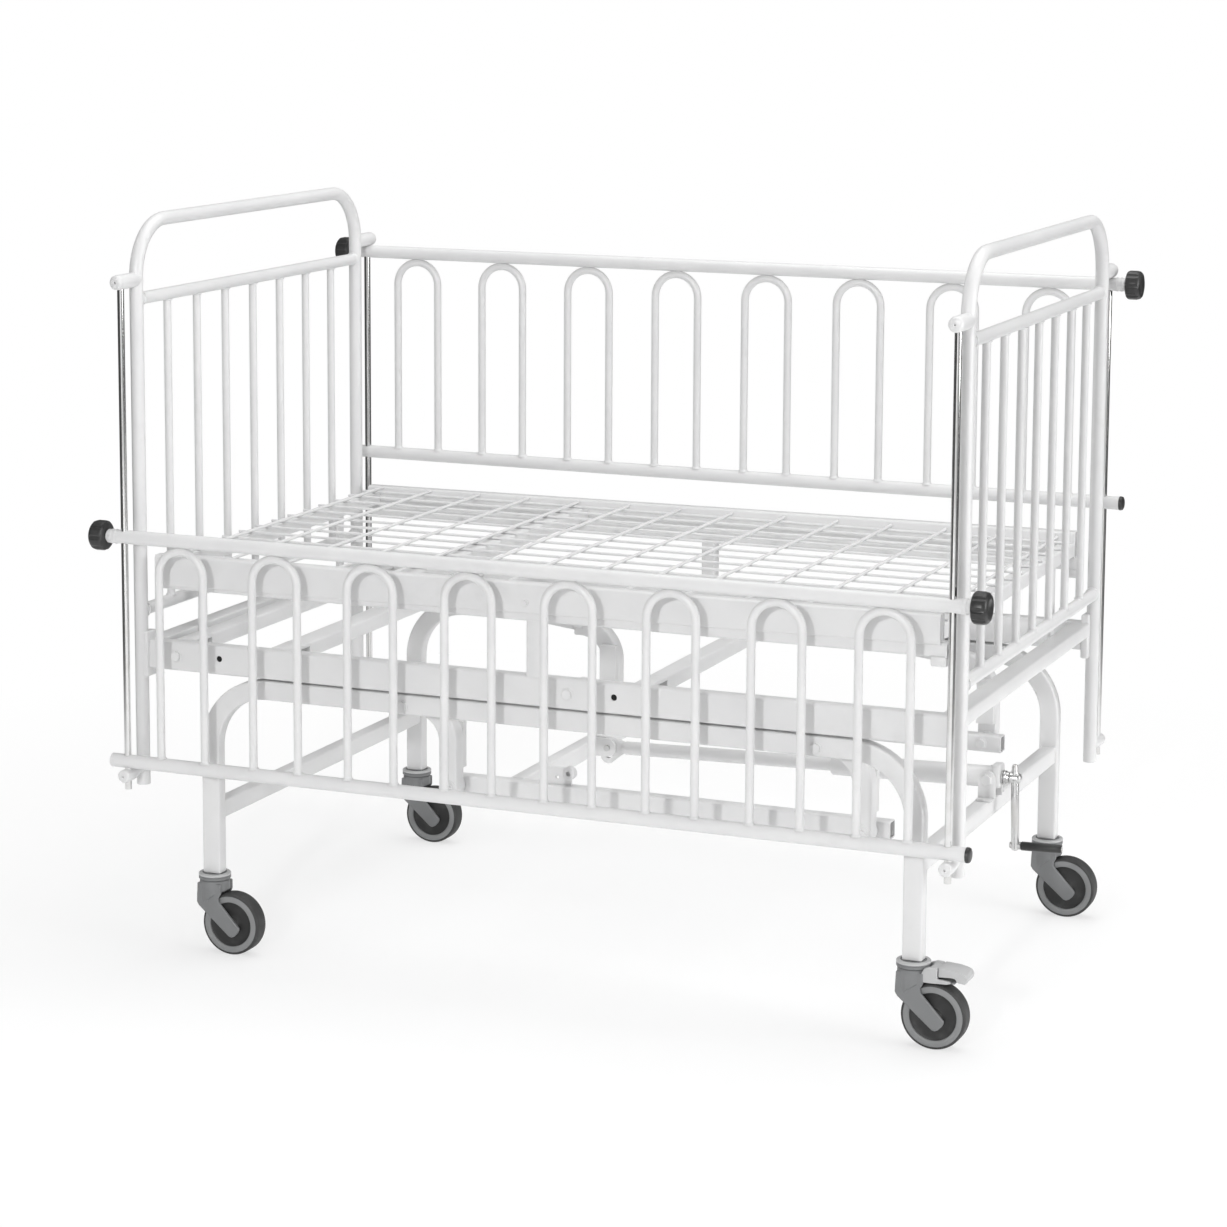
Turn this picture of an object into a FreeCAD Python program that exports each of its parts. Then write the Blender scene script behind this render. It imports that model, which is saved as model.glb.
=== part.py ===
"""Pediatric hospital cot: a crank-lifted bed frame on castors, with two sliding side rails.

Frame: +X towards the foot end, which carries the crank, +Y towards the far side, +Z up.
Origin: on the floor, midway between the four corner posts.  All sizes are in millimetres.
"""
import FreeCAD, Part
import math
import os
import re
import Sketcher

os.makedirs("parts", exist_ok=True)
doc = FreeCAD.newDocument("cot")

# ---------------------------------------------------------------- driving dimensions
DIMENSIONS = {
    # head and foot ends
    "post_x": 683.5, "post_y": 381, "post_dia": 22, "tube_wall": 1.5,
    "post_foot_z": 266, "bow_z": 1175, "bow_radius": 88,
    "crossbar_dia": 20, "upper_crossbar_z": 1053, "lower_crossbar_z": 551,
    "bar_dia": 12.7, "bar_pitch": 95, "bar_wall": 1.2,
    # guide rods and the lugs that hold them
    "rod_dia": 11, "rod_y": 429, "rod_foot_z": 268, "rod_head_z": 1086,
    "lug_dia": 21, "upper_lug_z": 1084, "lower_lug_z": 291, "lug_end_y": 445,
    # side rails
    "rail_half_length": 711, "rail_dia": 22, "rail_spacing": 364.7,
    "lowered_rail_z": 313.4, "raised_rail_z": 697.5,
    "loop_pitch": 166.4, "loop_legs": 79.1, "loop_dia": 13,
    "bush_length": 40, "slide_gap": 0.3, "cap_length": 7,
    # release knobs
    "knob_dia": 48, "knob_length": 25, "knob_start_x": 714, "flute_dia": 14, "flute_depth": 2,
    "stem_dia": 8, "stem_gap": 0.05,
    # main frame of the bed
    "frame_y": 372, "frame_width": 25, "frame_top_z": 505, "frame_height": 47,
    "frame_half_length": 668, "section_wall": 2,
    "end_member_x": 667, "end_member_width": 32, "end_member_height": 23,
    "cross_height": 24, "accessory_hole_dia": 10, "accessory_hole_z": 484,
    "relief_height": 18, "relief_gap": 13, "support_width": 24, "support_x": 6,
    "bracket_height": 74, "bracket_drop": 14, "bracket_thickness": 4,
    "stay_thickness": 6, "stay_inner_y": 234, "stay_outer_y": 256,
    # mattress platform
    "platform_half_length": 653, "platform_y": 389, "platform_top_z": 637,
    "apron_height": 58, "apron_rise": 11, "platform_member": 25, "platform_bar_height": 24,
    "wire_dia": 5, "wire_pitch": 95.7, "long_wire_dia": 4.5, "long_wire_pitch": 57.2,
    # undercarriage
    "arch_y": 372, "arch_width": 23, "arch_depth": 31, "arch_top_z": 455,
    "arch_bend": 115, "head_leg_x": 559.5, "foot_leg_x": 617, "leg_foot_z": 130,
    "lower_bar_width": 25, "lower_bar_height": 28, "head_bar_z": 218, "foot_bar_z": 261,
    # lifting levers: from each pivot on the arches a long lift arm and, past a bend, a short tie arm
    "lever_x": 218, "lever_z": 437, "lever_spacing": 681,
    "lift_reach": 400, "lift_rise": 45, "tie_reach": 60, "tie_drop": 135,
    "lever_inner_y": 316, "lever_outer_y": 344, "lift_arm_height": 24, "tie_arm_width": 31,
    "lever_bend_x": 3, "lever_bend_drop": 62,
    "pin_dia": 12, "pin_head_dia": 21, "pin_head": 5, "pin_gap": 0.05, "boss_dia": 28, "boss_gap": 1,
    # tie bars between the head and foot levers
    "tie_inner_y": 285, "tie_outer_y": 310, "tie_height": 28,
    "tie_head_x": 180, "tie_foot_x": 557, "tie_cross_x": 65, "tie_cross_width": 24,
    "lug_half_gap": 4, "lug_plate": 5, "lug_height": 30, "drive_slot": 12.5, "slot_gap": 1.1,
    # crank drive
    "drive_x": 27, "drive_z": 306, "crank_x": 662, "crank_z": 323,
    "drive_dia": 22, "drive_bore": 18, "drive_eye": 28, "drive_overlap": 215, "nut_length": 30,
    "housing_dia": 34, "housing_start": 388, "housing_end": 668, "bearing_length": 30,
    "bearing_block": 14, "bearing_block_height": 42,
    "screw_dia": 14, "collar_stop": 6, "trunnion_x": 649, "trunnion_dia": 17, "trunnion_length": 7,
    "ear_width": 28, "ear_thickness": 5, "crank_drop": 108, "crank_stub": 22, "crank_dia": 13,
    "crank_boss_dia": 22, "crank_boss_length": 15, "knuckle_dia": 17,
    "grip_dia": 14, "grip_bore": 8, "grip_start": 8, "grip_length": 67,
    # castors
    "wheel_dia": 100, "wheel_width": 29, "tyre_depth": 13, "castor_trail": 35, "wheel_gap": 2.5,
    "hub_dia": 26, "disc_recess": 4, "tyre_round": 4, "axle_dia": 10,
    "collar_dia": 52, "collar_height": 9,
    "crown_dia": 49, "crown_low_z": 88, "crown_gap": 0.5, "crown_relief": 54,
    "fork_width": 41, "fork_slot": 32, "fork_arm": 26, "fork_reach": 13, "fork_lead": 8,
    "kingpin_dia": 14, "kingpin_z": 95, "stem_length": 35,
    "shield_length": 70, "shield_z": 103, "shield_height": 6, "pedal_width": 28,
    "pedal_pin_x": 33, "pedal_pin_z": 116, "pedal_pin_dia": 5,
    "ear_start": 26, "ear_end": 43, "ear_top_z": 125,
}
sheet = doc.addObject("Spreadsheet::Sheet", "Sizes")
for row, (alias, value) in enumerate(DIMENSIONS.items(), start=1):
    sheet.set(f"A{row}", alias)
    sheet.set(f"B{row}", str(value))
    sheet.setAlias(f"B{row}", alias)
doc.recompute()

HALF_TURN = 180
UP_TO_X = FreeCAD.Rotation(FreeCAD.Vector(0, 1, 0), 90)
UP_TO_Y = FreeCAD.Rotation(FreeCAD.Vector(1, 0, 0), -90)
WORD = re.compile(r"[a-z][a-z_0-9]*")
nodes = []


# ---------------------------------------------------------------- helpers
def formula(text):
    """Point every alias in the text at its cell of the sheet."""
    def cell(match):
        return "Sizes." + match.group() if match.group() in DIMENSIONS else match.group()
    return WORD.sub(cell, str(text))


def number(text):
    """What the formula comes to with the sizes of the sheet."""
    plain = WORD.sub(lambda match: f"({DIMENSIONS[match.group()]})", str(text))
    return float(FreeCAD.Units.Quantity(plain).Value)


def bind(feature, **formulas):
    for name, text in formulas.items():
        feature.setExpression(name, formula(text))


def locate(feature, x, y, z):
    for coordinate, text in zip("xyz", (x, y, z)):
        feature.setExpression(f"Placement.Base.{coordinate}", formula(text))


def rod(dia, length, axis, x, y, z):
    """A round bar that starts at x, y, z and runs along the axis."""
    bar = doc.addObject("Part::Cylinder", "Rod")
    turn = {"X": UP_TO_X, "Y": UP_TO_Y, "Z": FreeCAD.Rotation()}[axis]
    bar.Placement = FreeCAD.Placement(FreeCAD.Vector(), turn)
    bind(bar, Radius=f"({dia}) / 2", Height=length)
    locate(bar, x, y, z)
    return bar


def block(x, y, z):
    """A box between a low and a high formula on each axis."""
    box = doc.addObject("Part::Box", "Block")
    bind(box, Length=f"({x[1]}) - ({x[0]})", Width=f"({y[1]}) - ({y[0]})", Height=f"({z[1]}) - ({z[0]})")
    locate(box, x[0], y[0], z[0])
    return box


def strut(start, end, depth, y):
    """A box whose centre line runs from one (x, z) to another, between two values of y."""
    (x0, z0), (x1, z1) = start, end
    along, rise = f"(({x1}) - ({x0}))", f"(({z1}) - ({z0}))"
    span = f"sqrt({along} * {along} + {rise} * {rise})"
    slope = math.degrees(math.atan2(number(rise), number(along)))
    box = doc.addObject("Part::Box", "Strut")
    turn = FreeCAD.Rotation(FreeCAD.Vector(0, 1, 0), -slope)
    box.Placement = FreeCAD.Placement(FreeCAD.Vector(), turn)
    bind(box, Length=span, Width=f"({y[1]}) - ({y[0]})", Height=depth)
    locate(box, f"{x0} + ({depth}) / 2 * {rise} / {span}", y[0],
           f"{z0} - ({depth}) / 2 * {along} / {span}")
    return box


def elbow(bend, dia, angle, rotation, x, y, z):
    """A round bar bent through an angle about the centre x, y, z."""
    ring = doc.addObject("Part::Torus", "Elbow")
    ring.Placement = FreeCAD.Placement(FreeCAD.Vector(), rotation)
    ring.Angle3 = angle
    bind(ring, Radius1=bend, Radius2=f"({dia}) / 2")
    locate(ring, x, y, z)
    return ring


def quarter_bend(outer, inner, spin, x, y, z):
    """A quarter of a flat ring about a line along Y, between two values of y."""
    discs = []
    for radius in (outer, inner):
        disc = doc.addObject("Part::Cylinder", "Bend")
        turn = FreeCAD.Rotation(FreeCAD.Vector(0, 0, 1), spin)
        disc.Placement = FreeCAD.Placement(FreeCAD.Vector(), UP_TO_Y * turn)
        disc.Angle = 90
        bind(disc, Radius=radius, Height=f"({y[1]}) - ({y[0]})")
        locate(disc, x, y[0], z)
        discs.append(disc)
    return cut(*discs)


def fuse(*pieces):
    if len(pieces) == 1:
        return pieces[0]
    whole = doc.addObject("Part::MultiFuse", "Fusion")
    whole.Shapes = list(pieces)
    whole.Refine = True
    return whole


def group(*pieces):
    """Separate solids kept as one object."""
    whole = doc.addObject("Part::Compound", "Group")
    whole.Links = list(pieces)
    return whole


def cut(base, *tools):
    result = doc.addObject("Part::Cut", "Cut")
    result.Base = base
    result.Tool = fuse(*tools)
    return result


def mirror(source, axis):
    """The same piece on the other side of the cot."""
    twin = doc.addObject("Part::Mirroring", "Mirror")
    twin.Source = source
    twin.Base = FreeCAD.Vector()
    twin.Normal = FreeCAD.Vector(1, 0, 0) if axis == "X" else FreeCAD.Vector(0, 1, 0)
    return twin


def node(name, feature):
    """Name a finished piece: the label becomes its file name."""
    feature.Label = name
    nodes.append(feature)
    return feature


def outline(body, role, points):
    """A closed outline on one of the body's own planes, with every corner bound to the sheet."""
    sketch = body.newObject("Sketcher::SketchObject", body.Name + "Outline")
    plane = next(item for item in body.Origin.OriginFeatures if item.Role == role)
    sketch.AttachmentSupport = [(plane, "")]
    sketch.MapMode = "FlatFace"
    corners = [(number(u), number(v)) for u, v in points]
    for start, end in zip(corners, corners[1:] + corners[:1]):
        sketch.addGeometry(Part.LineSegment(FreeCAD.Vector(*start, 0), FreeCAD.Vector(*end, 0)), False)
    for index, (texts, values) in enumerate(zip(points, corners)):
        before = (index - 1) % len(points)
        sketch.addConstraint(Sketcher.Constraint("Coincident", before, 2, index, 1))
        for kind, axis, text, value in zip(("DistanceX", "DistanceY"), (-2, -1), texts, values):
            if value == 0:
                sketch.addConstraint(Sketcher.Constraint("PointOnObject", index, 1, axis))
                continue
            place = sketch.addConstraint(Sketcher.Constraint(kind, -1, 1, index, 1, value))
            sketch.setExpression(f"Constraints[{place}]", formula(text))
    return sketch


def turned(name, points):
    """A lathe-turned piece: an outline of (position, radius) spun about the body's X axis."""
    body = doc.addObject("PartDesign::Body", name)
    spin = body.newObject("PartDesign::Revolution", name + "Turn")
    spin.Profile = outline(body, "XZ_Plane", points)
    spin.ReferenceAxis = (next(item for item in body.Origin.OriginFeatures if item.Role == "X_Axis"), [""])
    spin.Angle = 360
    return body


def plate(name, points, thickness):
    """A flat plate cut to an outline of (x, z) and centred on the XZ plane."""
    body = doc.addObject("PartDesign::Body", name)
    pad = body.newObject("PartDesign::Pad", name + "Pad")
    pad.Profile = outline(body, "XZ_Plane", points)
    pad.Midplane = True
    bind(pad, Length=thickness)
    return body


def tube(dia, wall, length, axis, x, y, z):
    """The outer bar and the bore of a straight round tube."""
    return (rod(dia, length, axis, x, y, z),
            rod(f"{dia} - 2 * {wall}", length, axis, x, y, z))


# ---------------------------------------------------------------- head and foot ends
def bow_bar(dia):
    """The inverted U of one end: two posts, two bends and the top."""
    straight = "bow_z - bow_radius - post_foot_z"
    corner_y = "post_y - bow_radius"
    corner_z = "bow_z - bow_radius"
    upright = FreeCAD.Rotation(FreeCAD.Vector(0, 0, 1), 90) * FreeCAD.Rotation(FreeCAD.Vector(1, 0, 0), 90)
    quarter = FreeCAD.Rotation(FreeCAD.Vector(1, 0, 0), 90)
    return fuse(
        rod(dia, straight, "Z", "-post_x", "-post_y", "post_foot_z"),
        rod(dia, straight, "Z", "-post_x", "post_y", "post_foot_z"),
        rod(dia, f"2 * ({corner_y})", "Y", "-post_x", f"-({corner_y})", "bow_z"),
        elbow("bow_radius", dia, 90, upright, "-post_x", corner_y, corner_z),
        elbow("bow_radius", dia, 90, upright * FreeCAD.Rotation(FreeCAD.Vector(0, 0, 1), 90),
              "-post_x", f"-({corner_y})", corner_z),
    )


BAR_COUNT = 7
bow_solid = bow_bar("post_dia")
head_bow = cut(bow_solid, bow_bar("post_dia - 2 * tube_wall"))

crossbar_solids = []
crossbar_bores = []
for height in ("upper_crossbar_z", "lower_crossbar_z"):
    solid, bore = tube("crossbar_dia", "tube_wall", "2 * post_y", "Y", "-post_x", "-post_y", height)
    crossbar_solids.append(solid)
    crossbar_bores.append(bore)
head_crossbars = cut(fuse(*crossbar_solids), fuse(*crossbar_bores, bow_solid))

bar_solids = []
bar_bores = []
for index in range(BAR_COUNT):
    solid, bore = tube("bar_dia", "bar_wall", "upper_crossbar_z - lower_crossbar_z", "Z",
                       "-post_x", f"{index - (BAR_COUNT - 1) // 2} * bar_pitch", "lower_crossbar_z")
    bar_solids.append(solid)
    bar_bores.append(bore)
head_bars = cut(fuse(*bar_solids), fuse(*bar_bores, *crossbar_solids))

for end, flip in (("headboard", False), ("footboard", True)):
    for part_name, piece in (("bow", head_bow), ("crossbars", head_crossbars), ("bars", head_bars)):
        node(f"{end}_{part_name}", mirror(piece, "X") if flip else piece)

# ---------------------------------------------------------------- guide rods and lugs
CORNERS = [(x_sign, y_sign) for x_sign in ("-", "") for y_sign in ("-", "")]
rods = [rod("rod_dia", "rod_head_z - rod_foot_z", "Z", f"{sx}post_x", f"{sy}rod_y", "rod_foot_z")
        for sx, sy in CORNERS]
guide_rods = node("guide_rods", group(*rods))

lug_bars = []
for height in ("upper_lug_z", "lower_lug_z"):
    for sx in ("-", ""):
        lug_bars.append(rod("lug_dia", "lug_end_y - post_y", "Y", f"{sx}post_x", "-lug_end_y", height))
        lug_bars.append(rod("lug_dia", "lug_end_y - post_y", "Y", f"{sx}post_x", "post_y", height))
node("rod_lugs", cut(fuse(*lug_bars), fuse(*rods, bow_solid, mirror(bow_solid, "X"))))

# ---------------------------------------------------------------- side rails
LOOPS = 8
LOOP_PLANE = FreeCAD.Rotation(FreeCAD.Vector(1, 0, 0), 90)


def loop_bar(dia, centre, side_y, low_z):
    """One inverted U of the side rail, with its crown under the top tube."""
    crown_z = f"{low_z} + rail_spacing - rail_dia / 2 - loop_dia / 2 - loop_legs / 2 + 1"
    leg = f"{crown_z} - ({low_z})"
    return fuse(
        rod(dia, leg, "Z", f"{centre} - loop_legs / 2", side_y, low_z),
        rod(dia, leg, "Z", f"{centre} + loop_legs / 2", side_y, low_z),
        elbow("loop_legs / 2", dia, HALF_TURN, LOOP_PLANE, centre, side_y, crown_z),
    )


def side_rail(name, side_y, low_z):
    """Two long tubes, the loops between them, and the bushes that slide on the guide rods."""
    high_z = f"{low_z} + rail_spacing"
    rod_holes = [rod("rod_dia + 2 * slide_gap", "2 * rail_dia", "Z", f"{sx}post_x", side_y,
                     f"{level} - rail_dia")
                 for sx in ("-", "") for level in (low_z, high_z)]
    holes = fuse(*rod_holes)
    solids = {}
    for level_name, level in (("top", high_z), ("bottom", low_z)):
        solid, bore = tube("rail_dia", "tube_wall", "2 * rail_half_length", "X",
                           "-rail_half_length", side_y, level)
        solids[level_name] = solid
        node(f"{name}_{level_name}_tube", cut(solid, bore, holes))
    loops = []
    for index in range(LOOPS):
        centre = f"{index - (LOOPS - 1) / 2} * loop_pitch"
        loops.append(cut(loop_bar("loop_dia", centre, side_y, low_z),
                         loop_bar("loop_dia - 2 * bar_wall", centre, side_y, low_z),
                         solids["bottom"], solids["top"]))
    node(f"{name}_loops", group(*loops))
    bush_dia = "rail_dia - 2 * tube_wall"
    bushes = []
    for sx, start in (("-", "-rail_half_length"), ("", "rail_half_length - bush_length")):
        for level in (low_z, high_z):
            bushes.append(rod(bush_dia, "bush_length", "X", start, side_y, level))
    stem_bores = [rod("stem_dia + 2 * stem_gap", "bush_length", "X", start, side_y, high_z)
                  for start in ("-rail_half_length - 1", "rail_half_length + 1 - bush_length")]
    cap = rod("rail_dia + 1", "cap_length", "X", "rail_half_length", side_y, low_z)
    node(f"{name}_plugs", cut(fuse(*bushes, cap), holes, *stem_bores))
    return high_z


FLUTES = 8
FLUTE_REACH = "(knob_dia / 2 + flute_dia / 2 - flute_depth)"


def knob(name, side_y, height, flip):
    """A fluted hand knob with the latch stem that reaches the guide rod."""
    grip = rod("knob_dia", "knob_length", "X", "knob_start_x", side_y, height)
    flutes = []
    for index in range(FLUTES):
        angle = 2 * math.pi * index / FLUTES
        flutes.append(rod("flute_dia", "knob_length", "X", "knob_start_x",
                          f"{side_y} + {math.cos(angle):.4f} * {FLUTE_REACH}",
                          f"{height} + {math.sin(angle):.4f} * {FLUTE_REACH}"))
    nose = "post_x + rod_dia / 2 + slide_gap"
    stem = rod("stem_dia", f"knob_start_x - ({nose})", "X", nose, side_y, height)
    finished = fuse(cut(grip, *flutes), stem)
    node(name, mirror(finished, "X") if flip else finished)


SIDE_RAILS = (("rail_near", "-rod_y", "lowered_rail_z"), ("rail_far", "rod_y", "raised_rail_z"))
for rail_name, rail_y, rail_z in SIDE_RAILS:
    top_z = side_rail(rail_name, rail_y, rail_z)
    knob(f"{rail_name}_knob_head", rail_y, top_z, True)
    knob(f"{rail_name}_knob_foot", rail_y, top_z, False)

# ---------------------------------------------------------------- pivots of the lifting levers
ARCH_PIVOTS = (("-lever_x", "lever_z"), ("lever_spacing - lever_x", "lever_z"))
FRAME_PIVOTS = [(f"{x} - lift_reach", f"{z} + lift_rise") for x, z in ARCH_PIVOTS]
TIE_PIVOTS = [(f"{x} + tie_reach", f"{z} - tie_drop") for x, z in ARCH_PIVOTS]


def pivot_pin(x, z, inner_y, outer_y):
    """A pin along Y on the near side, with its head outermost and its nut innermost."""
    shank = rod("pin_dia", f"{outer_y} - ({inner_y})", "Y", x, f"-({outer_y})", z)
    head = rod("pin_head_dia", "pin_head", "Y", x, f"-({outer_y}) - pin_head", z)
    nut = rod("pin_head_dia", "pin_head", "Y", x, f"-({inner_y})", z)
    return fuse(head, shank, nut)


def pin_set(pivots, inner_y, outer_y):
    near = [pivot_pin(x, z, inner_y, outer_y) for x, z in pivots]
    return near + [mirror(pin, "Y") for pin in near]


arch_outer_y = "arch_y + arch_width / 2"
frame_outer_y = "frame_y + frame_width / 2"
arch_pins = pin_set(ARCH_PIVOTS, "lever_inner_y - boss_gap", arch_outer_y)
frame_pins = pin_set(FRAME_PIVOTS, "lever_inner_y - boss_gap", frame_outer_y)
tie_pins = pin_set(TIE_PIVOTS, "tie_inner_y", "lever_outer_y + boss_gap")
node("arch_pivot_pins", group(*arch_pins))
node("frame_pivot_pins", group(*frame_pins))
node("tie_pivot_pins", group(*tie_pins))

# ---------------------------------------------------------------- main frame of the bed
frame_inner = "frame_y - frame_width / 2"
frame_low_z = "frame_top_z - frame_height"
ACCESSORY_HOLES = (-540, 140)


def hollow_block(x, y, z, open_axis):
    """The outer box and the inner space of a straight rectangular tube, open at both ends."""
    def shrink(pair):
        return (f"{pair[0]} + section_wall", f"{pair[1]} - section_wall")
    outer = block(x, y, z)
    inner = block(*(pair if axis == open_axis else shrink(pair) for axis, pair in zip("XYZ", (x, y, z))))
    return outer, inner


def hollow_bar(x, y, z, open_axis):
    return cut(*hollow_block(x, y, z, open_axis))


near_frame_y = (f"-({frame_outer_y})", f"-({frame_inner})")
main_solid, main_bore = hollow_block(("-frame_half_length", "frame_half_length"), near_frame_y,
                                     (frame_low_z, "frame_top_z"), "X")
holes = [rod("accessory_hole_dia", "2 * frame_width", "Y", hole_x, "-frame_y - frame_width",
             "accessory_hole_z")
         for hole_x in ACCESSORY_HOLES]
main_rail = cut(main_solid, main_bore, *holes, *frame_pins[:2])
node("main_rails", group(main_rail, mirror(main_rail, "Y")))

end_low_z = "frame_top_z - end_member_height"
end_rail = hollow_bar(("end_member_x - end_member_width / 2", "end_member_x + end_member_width / 2"),
                      (f"-({frame_inner})", frame_inner), (end_low_z, "frame_top_z"), "Y")

CROSS_MEMBERS = ((-632, -598), (-460, -420), (164, 195))
cross_low_z = "frame_top_z - cross_height"
reliefs = []
for side in ("-", ""):
    edges = (f"{side}(lever_inner_y - relief_gap)", f"{side}({frame_inner})")
    near_first = edges[::-1] if side == "-" else edges
    reliefs.append(block(("-frame_half_length", "frame_half_length"), near_first,
                         (cross_low_z, f"{cross_low_z} + relief_height")))
members = []
for low, high in CROSS_MEMBERS:
    member = hollow_bar((low, high), (f"-({frame_inner})", frame_inner), (cross_low_z, "frame_top_z"), "Y")
    members.append(cut(member, *reliefs))
node("frame_cross_members", group(end_rail, mirror(end_rail, "X"), *members))

platform_low_z = "platform_top_z + apron_rise - apron_height"
support = hollow_bar(("support_x - support_width / 2", "support_x + support_width / 2"), near_frame_y,
                     ("frame_top_z", platform_low_z), "Z")
node("support_posts", group(support, mirror(support, "Y")))

bracket_low_z = f"{frame_low_z} - bracket_drop"
bracket = cut(block(("-post_x", "-frame_half_length"),
                    (f"-({frame_outer_y}) - bracket_thickness", f"-({frame_inner})"),
                    (bracket_low_z, f"{bracket_low_z} + bracket_height")), bow_solid)

stay = block(("end_member_x - end_member_width / 2 - stay_thickness", "end_member_x - end_member_width / 2"),
             ("-stay_outer_y", "-stay_inner_y"), (end_low_z, "platform_top_z - platform_bar_height"))
head_brackets = [bracket, mirror(bracket, "Y"), stay, mirror(stay, "Y")]
node("frame_brackets", group(*head_brackets, *[mirror(item, "X") for item in head_brackets]))

# ---------------------------------------------------------------- mattress platform
apron = hollow_bar(("-platform_half_length", "platform_half_length"),
                   ("-platform_y", "platform_member - platform_y"),
                   (platform_low_z, "platform_top_z + apron_rise"), "X")
MIDDLE_BAR = (-253, -221)
bar_z = ("platform_top_z - platform_bar_height", "platform_top_z")
bar_y = ("platform_member - platform_y", "platform_y - platform_member")
end_bar = hollow_bar(("platform_half_length - platform_member", "platform_half_length"), bar_y, bar_z, "Y")
middle_bar = hollow_bar(MIDDLE_BAR, bar_y, bar_z, "Y")
node("platform_frame", group(apron, mirror(apron, "Y"), end_bar, mirror(end_bar, "X"), middle_bar))

CROSS_WIRES = 14
LONG_WIRES = 13
long_wire_z = "platform_top_z + long_wire_dia / 2"
cross_wire_z = "platform_top_z + long_wire_dia + wire_dia / 2"
wires = []
for index in range(CROSS_WIRES):
    wire_x = f"{index - (CROSS_WIRES - 1) / 2} * wire_pitch"
    wires.append(rod("wire_dia", "2 * (platform_y - platform_member)", "Y", wire_x,
                     "platform_member - platform_y", cross_wire_z))
for index in range(LONG_WIRES):
    wire_y = f"{index - (LONG_WIRES - 1) // 2} * long_wire_pitch"
    wires.append(rod("long_wire_dia", "2 * platform_half_length - 4", "X", "2 - platform_half_length",
                     wire_y, long_wire_z))
node("platform_mesh", group(*wires))

# ---------------------------------------------------------------- undercarriage arches
arch_inner_y = "arch_y - arch_width / 2"


def arch_solid(inset):
    """The inverted U of one side, shrunk by an inset all round its section."""
    y = (f"-({arch_outer_y}) + {inset}", f"-({arch_inner_y}) - {inset}")
    depth_low, depth_high = f"arch_depth - {inset}", inset
    corner_z = "arch_top_z - arch_bend"
    top_x = ("-head_leg_x - arch_depth / 2 + arch_bend", "foot_leg_x + arch_depth / 2 - arch_bend")
    pieces = [block(top_x, y, (f"arch_top_z - ({depth_low})", f"arch_top_z - ({depth_high})"))]
    for side, outer in ((-1, "-head_leg_x - arch_depth / 2"), (1, "foot_leg_x + arch_depth / 2")):
        edges = [f"{outer} - {side} * ({depth_high})", f"{outer} - {side} * ({depth_low})"]
        pieces.append(block(edges if side < 0 else edges[::-1], y, ("leg_foot_z", corner_z)))
        pieces.append(quarter_bend(f"arch_bend - ({depth_high})", f"arch_bend - ({depth_low})",
                                   180 if side < 0 else 270, f"{outer} - {side} * arch_bend", y, corner_z))
    return fuse(*pieces)


arch = cut(arch_solid("0"), arch_solid("section_wall"), *arch_pins[:2])
node("arch_near", arch)
node("arch_far", mirror(arch, "Y"))

lower_bars = []
for centre_x, low_z in (("-head_leg_x", "head_bar_z"), ("foot_leg_x", "foot_bar_z")):
    lower_bars.append(hollow_bar((f"{centre_x} - lower_bar_width / 2", f"{centre_x} + lower_bar_width / 2"),
                                 (f"-({arch_inner_y})", arch_inner_y),
                                 (low_z, f"{low_z} + lower_bar_height"), "Y"))
node("lower_crossbars", group(*lower_bars))


# ---------------------------------------------------------------- lifting levers
def lever_solid(pivot, frame_pivot, tie_pivot, inset):
    """The lift arm, the bend and the tie arm on the near side, shrunk by an inset all round."""
    x, z = pivot
    y = (f"{inset} - lever_outer_y", f"-lever_inner_y - {inset}")
    bend_x, bend_z = f"{x} + lever_bend_x", f"{z} - lever_bend_drop"
    outer = f"tie_reach + tie_arm_width / 2 - lever_bend_x - {inset}"
    inner = f"tie_reach - tie_arm_width / 2 - lever_bend_x + {inset}"
    return fuse(
        strut(pivot, frame_pivot, f"lift_arm_height - 2 * {inset}", y),
        quarter_bend(outer, inner, 270, bend_x, y, bend_z),
        block((f"{bend_x} + {inner}", f"{bend_x} + {outer}"), y, (tie_pivot[1], bend_z)),
    )


def lever(pivot, frame_pivot, tie_pivot):
    """One bent lever of the near side, with bosses for its three pins."""
    shell = cut(lever_solid(pivot, frame_pivot, tie_pivot, "0"),
                lever_solid(pivot, frame_pivot, tie_pivot, "section_wall"))
    bosses = []
    bores = []
    for (x, z), dia, outer_y, inner_y in (
            (pivot, "boss_dia", f"{arch_inner_y} - boss_gap", "lever_inner_y"),
            (frame_pivot, "boss_dia", f"{frame_inner} - boss_gap", "lever_inner_y"),
            (tie_pivot, "tie_arm_width", "lever_outer_y", "tie_outer_y + boss_gap")):
        bosses.append(rod(dia, f"{outer_y} - ({inner_y})", "Y", x, f"-({outer_y})", z))
        bores.append(rod("pin_dia + 2 * pin_gap", "arch_y - tie_inner_y", "Y", x, "-arch_y", z))
    return cut(fuse(shell, *bosses), *bores)


for end, pivots in zip(("head", "foot"), zip(ARCH_PIVOTS, FRAME_PIVOTS, TIE_PIVOTS)):
    near_lever = lever(*pivots)
    node(f"lever_{end}_near", near_lever)
    node(f"lever_{end}_far", mirror(near_lever, "Y"))

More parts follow.
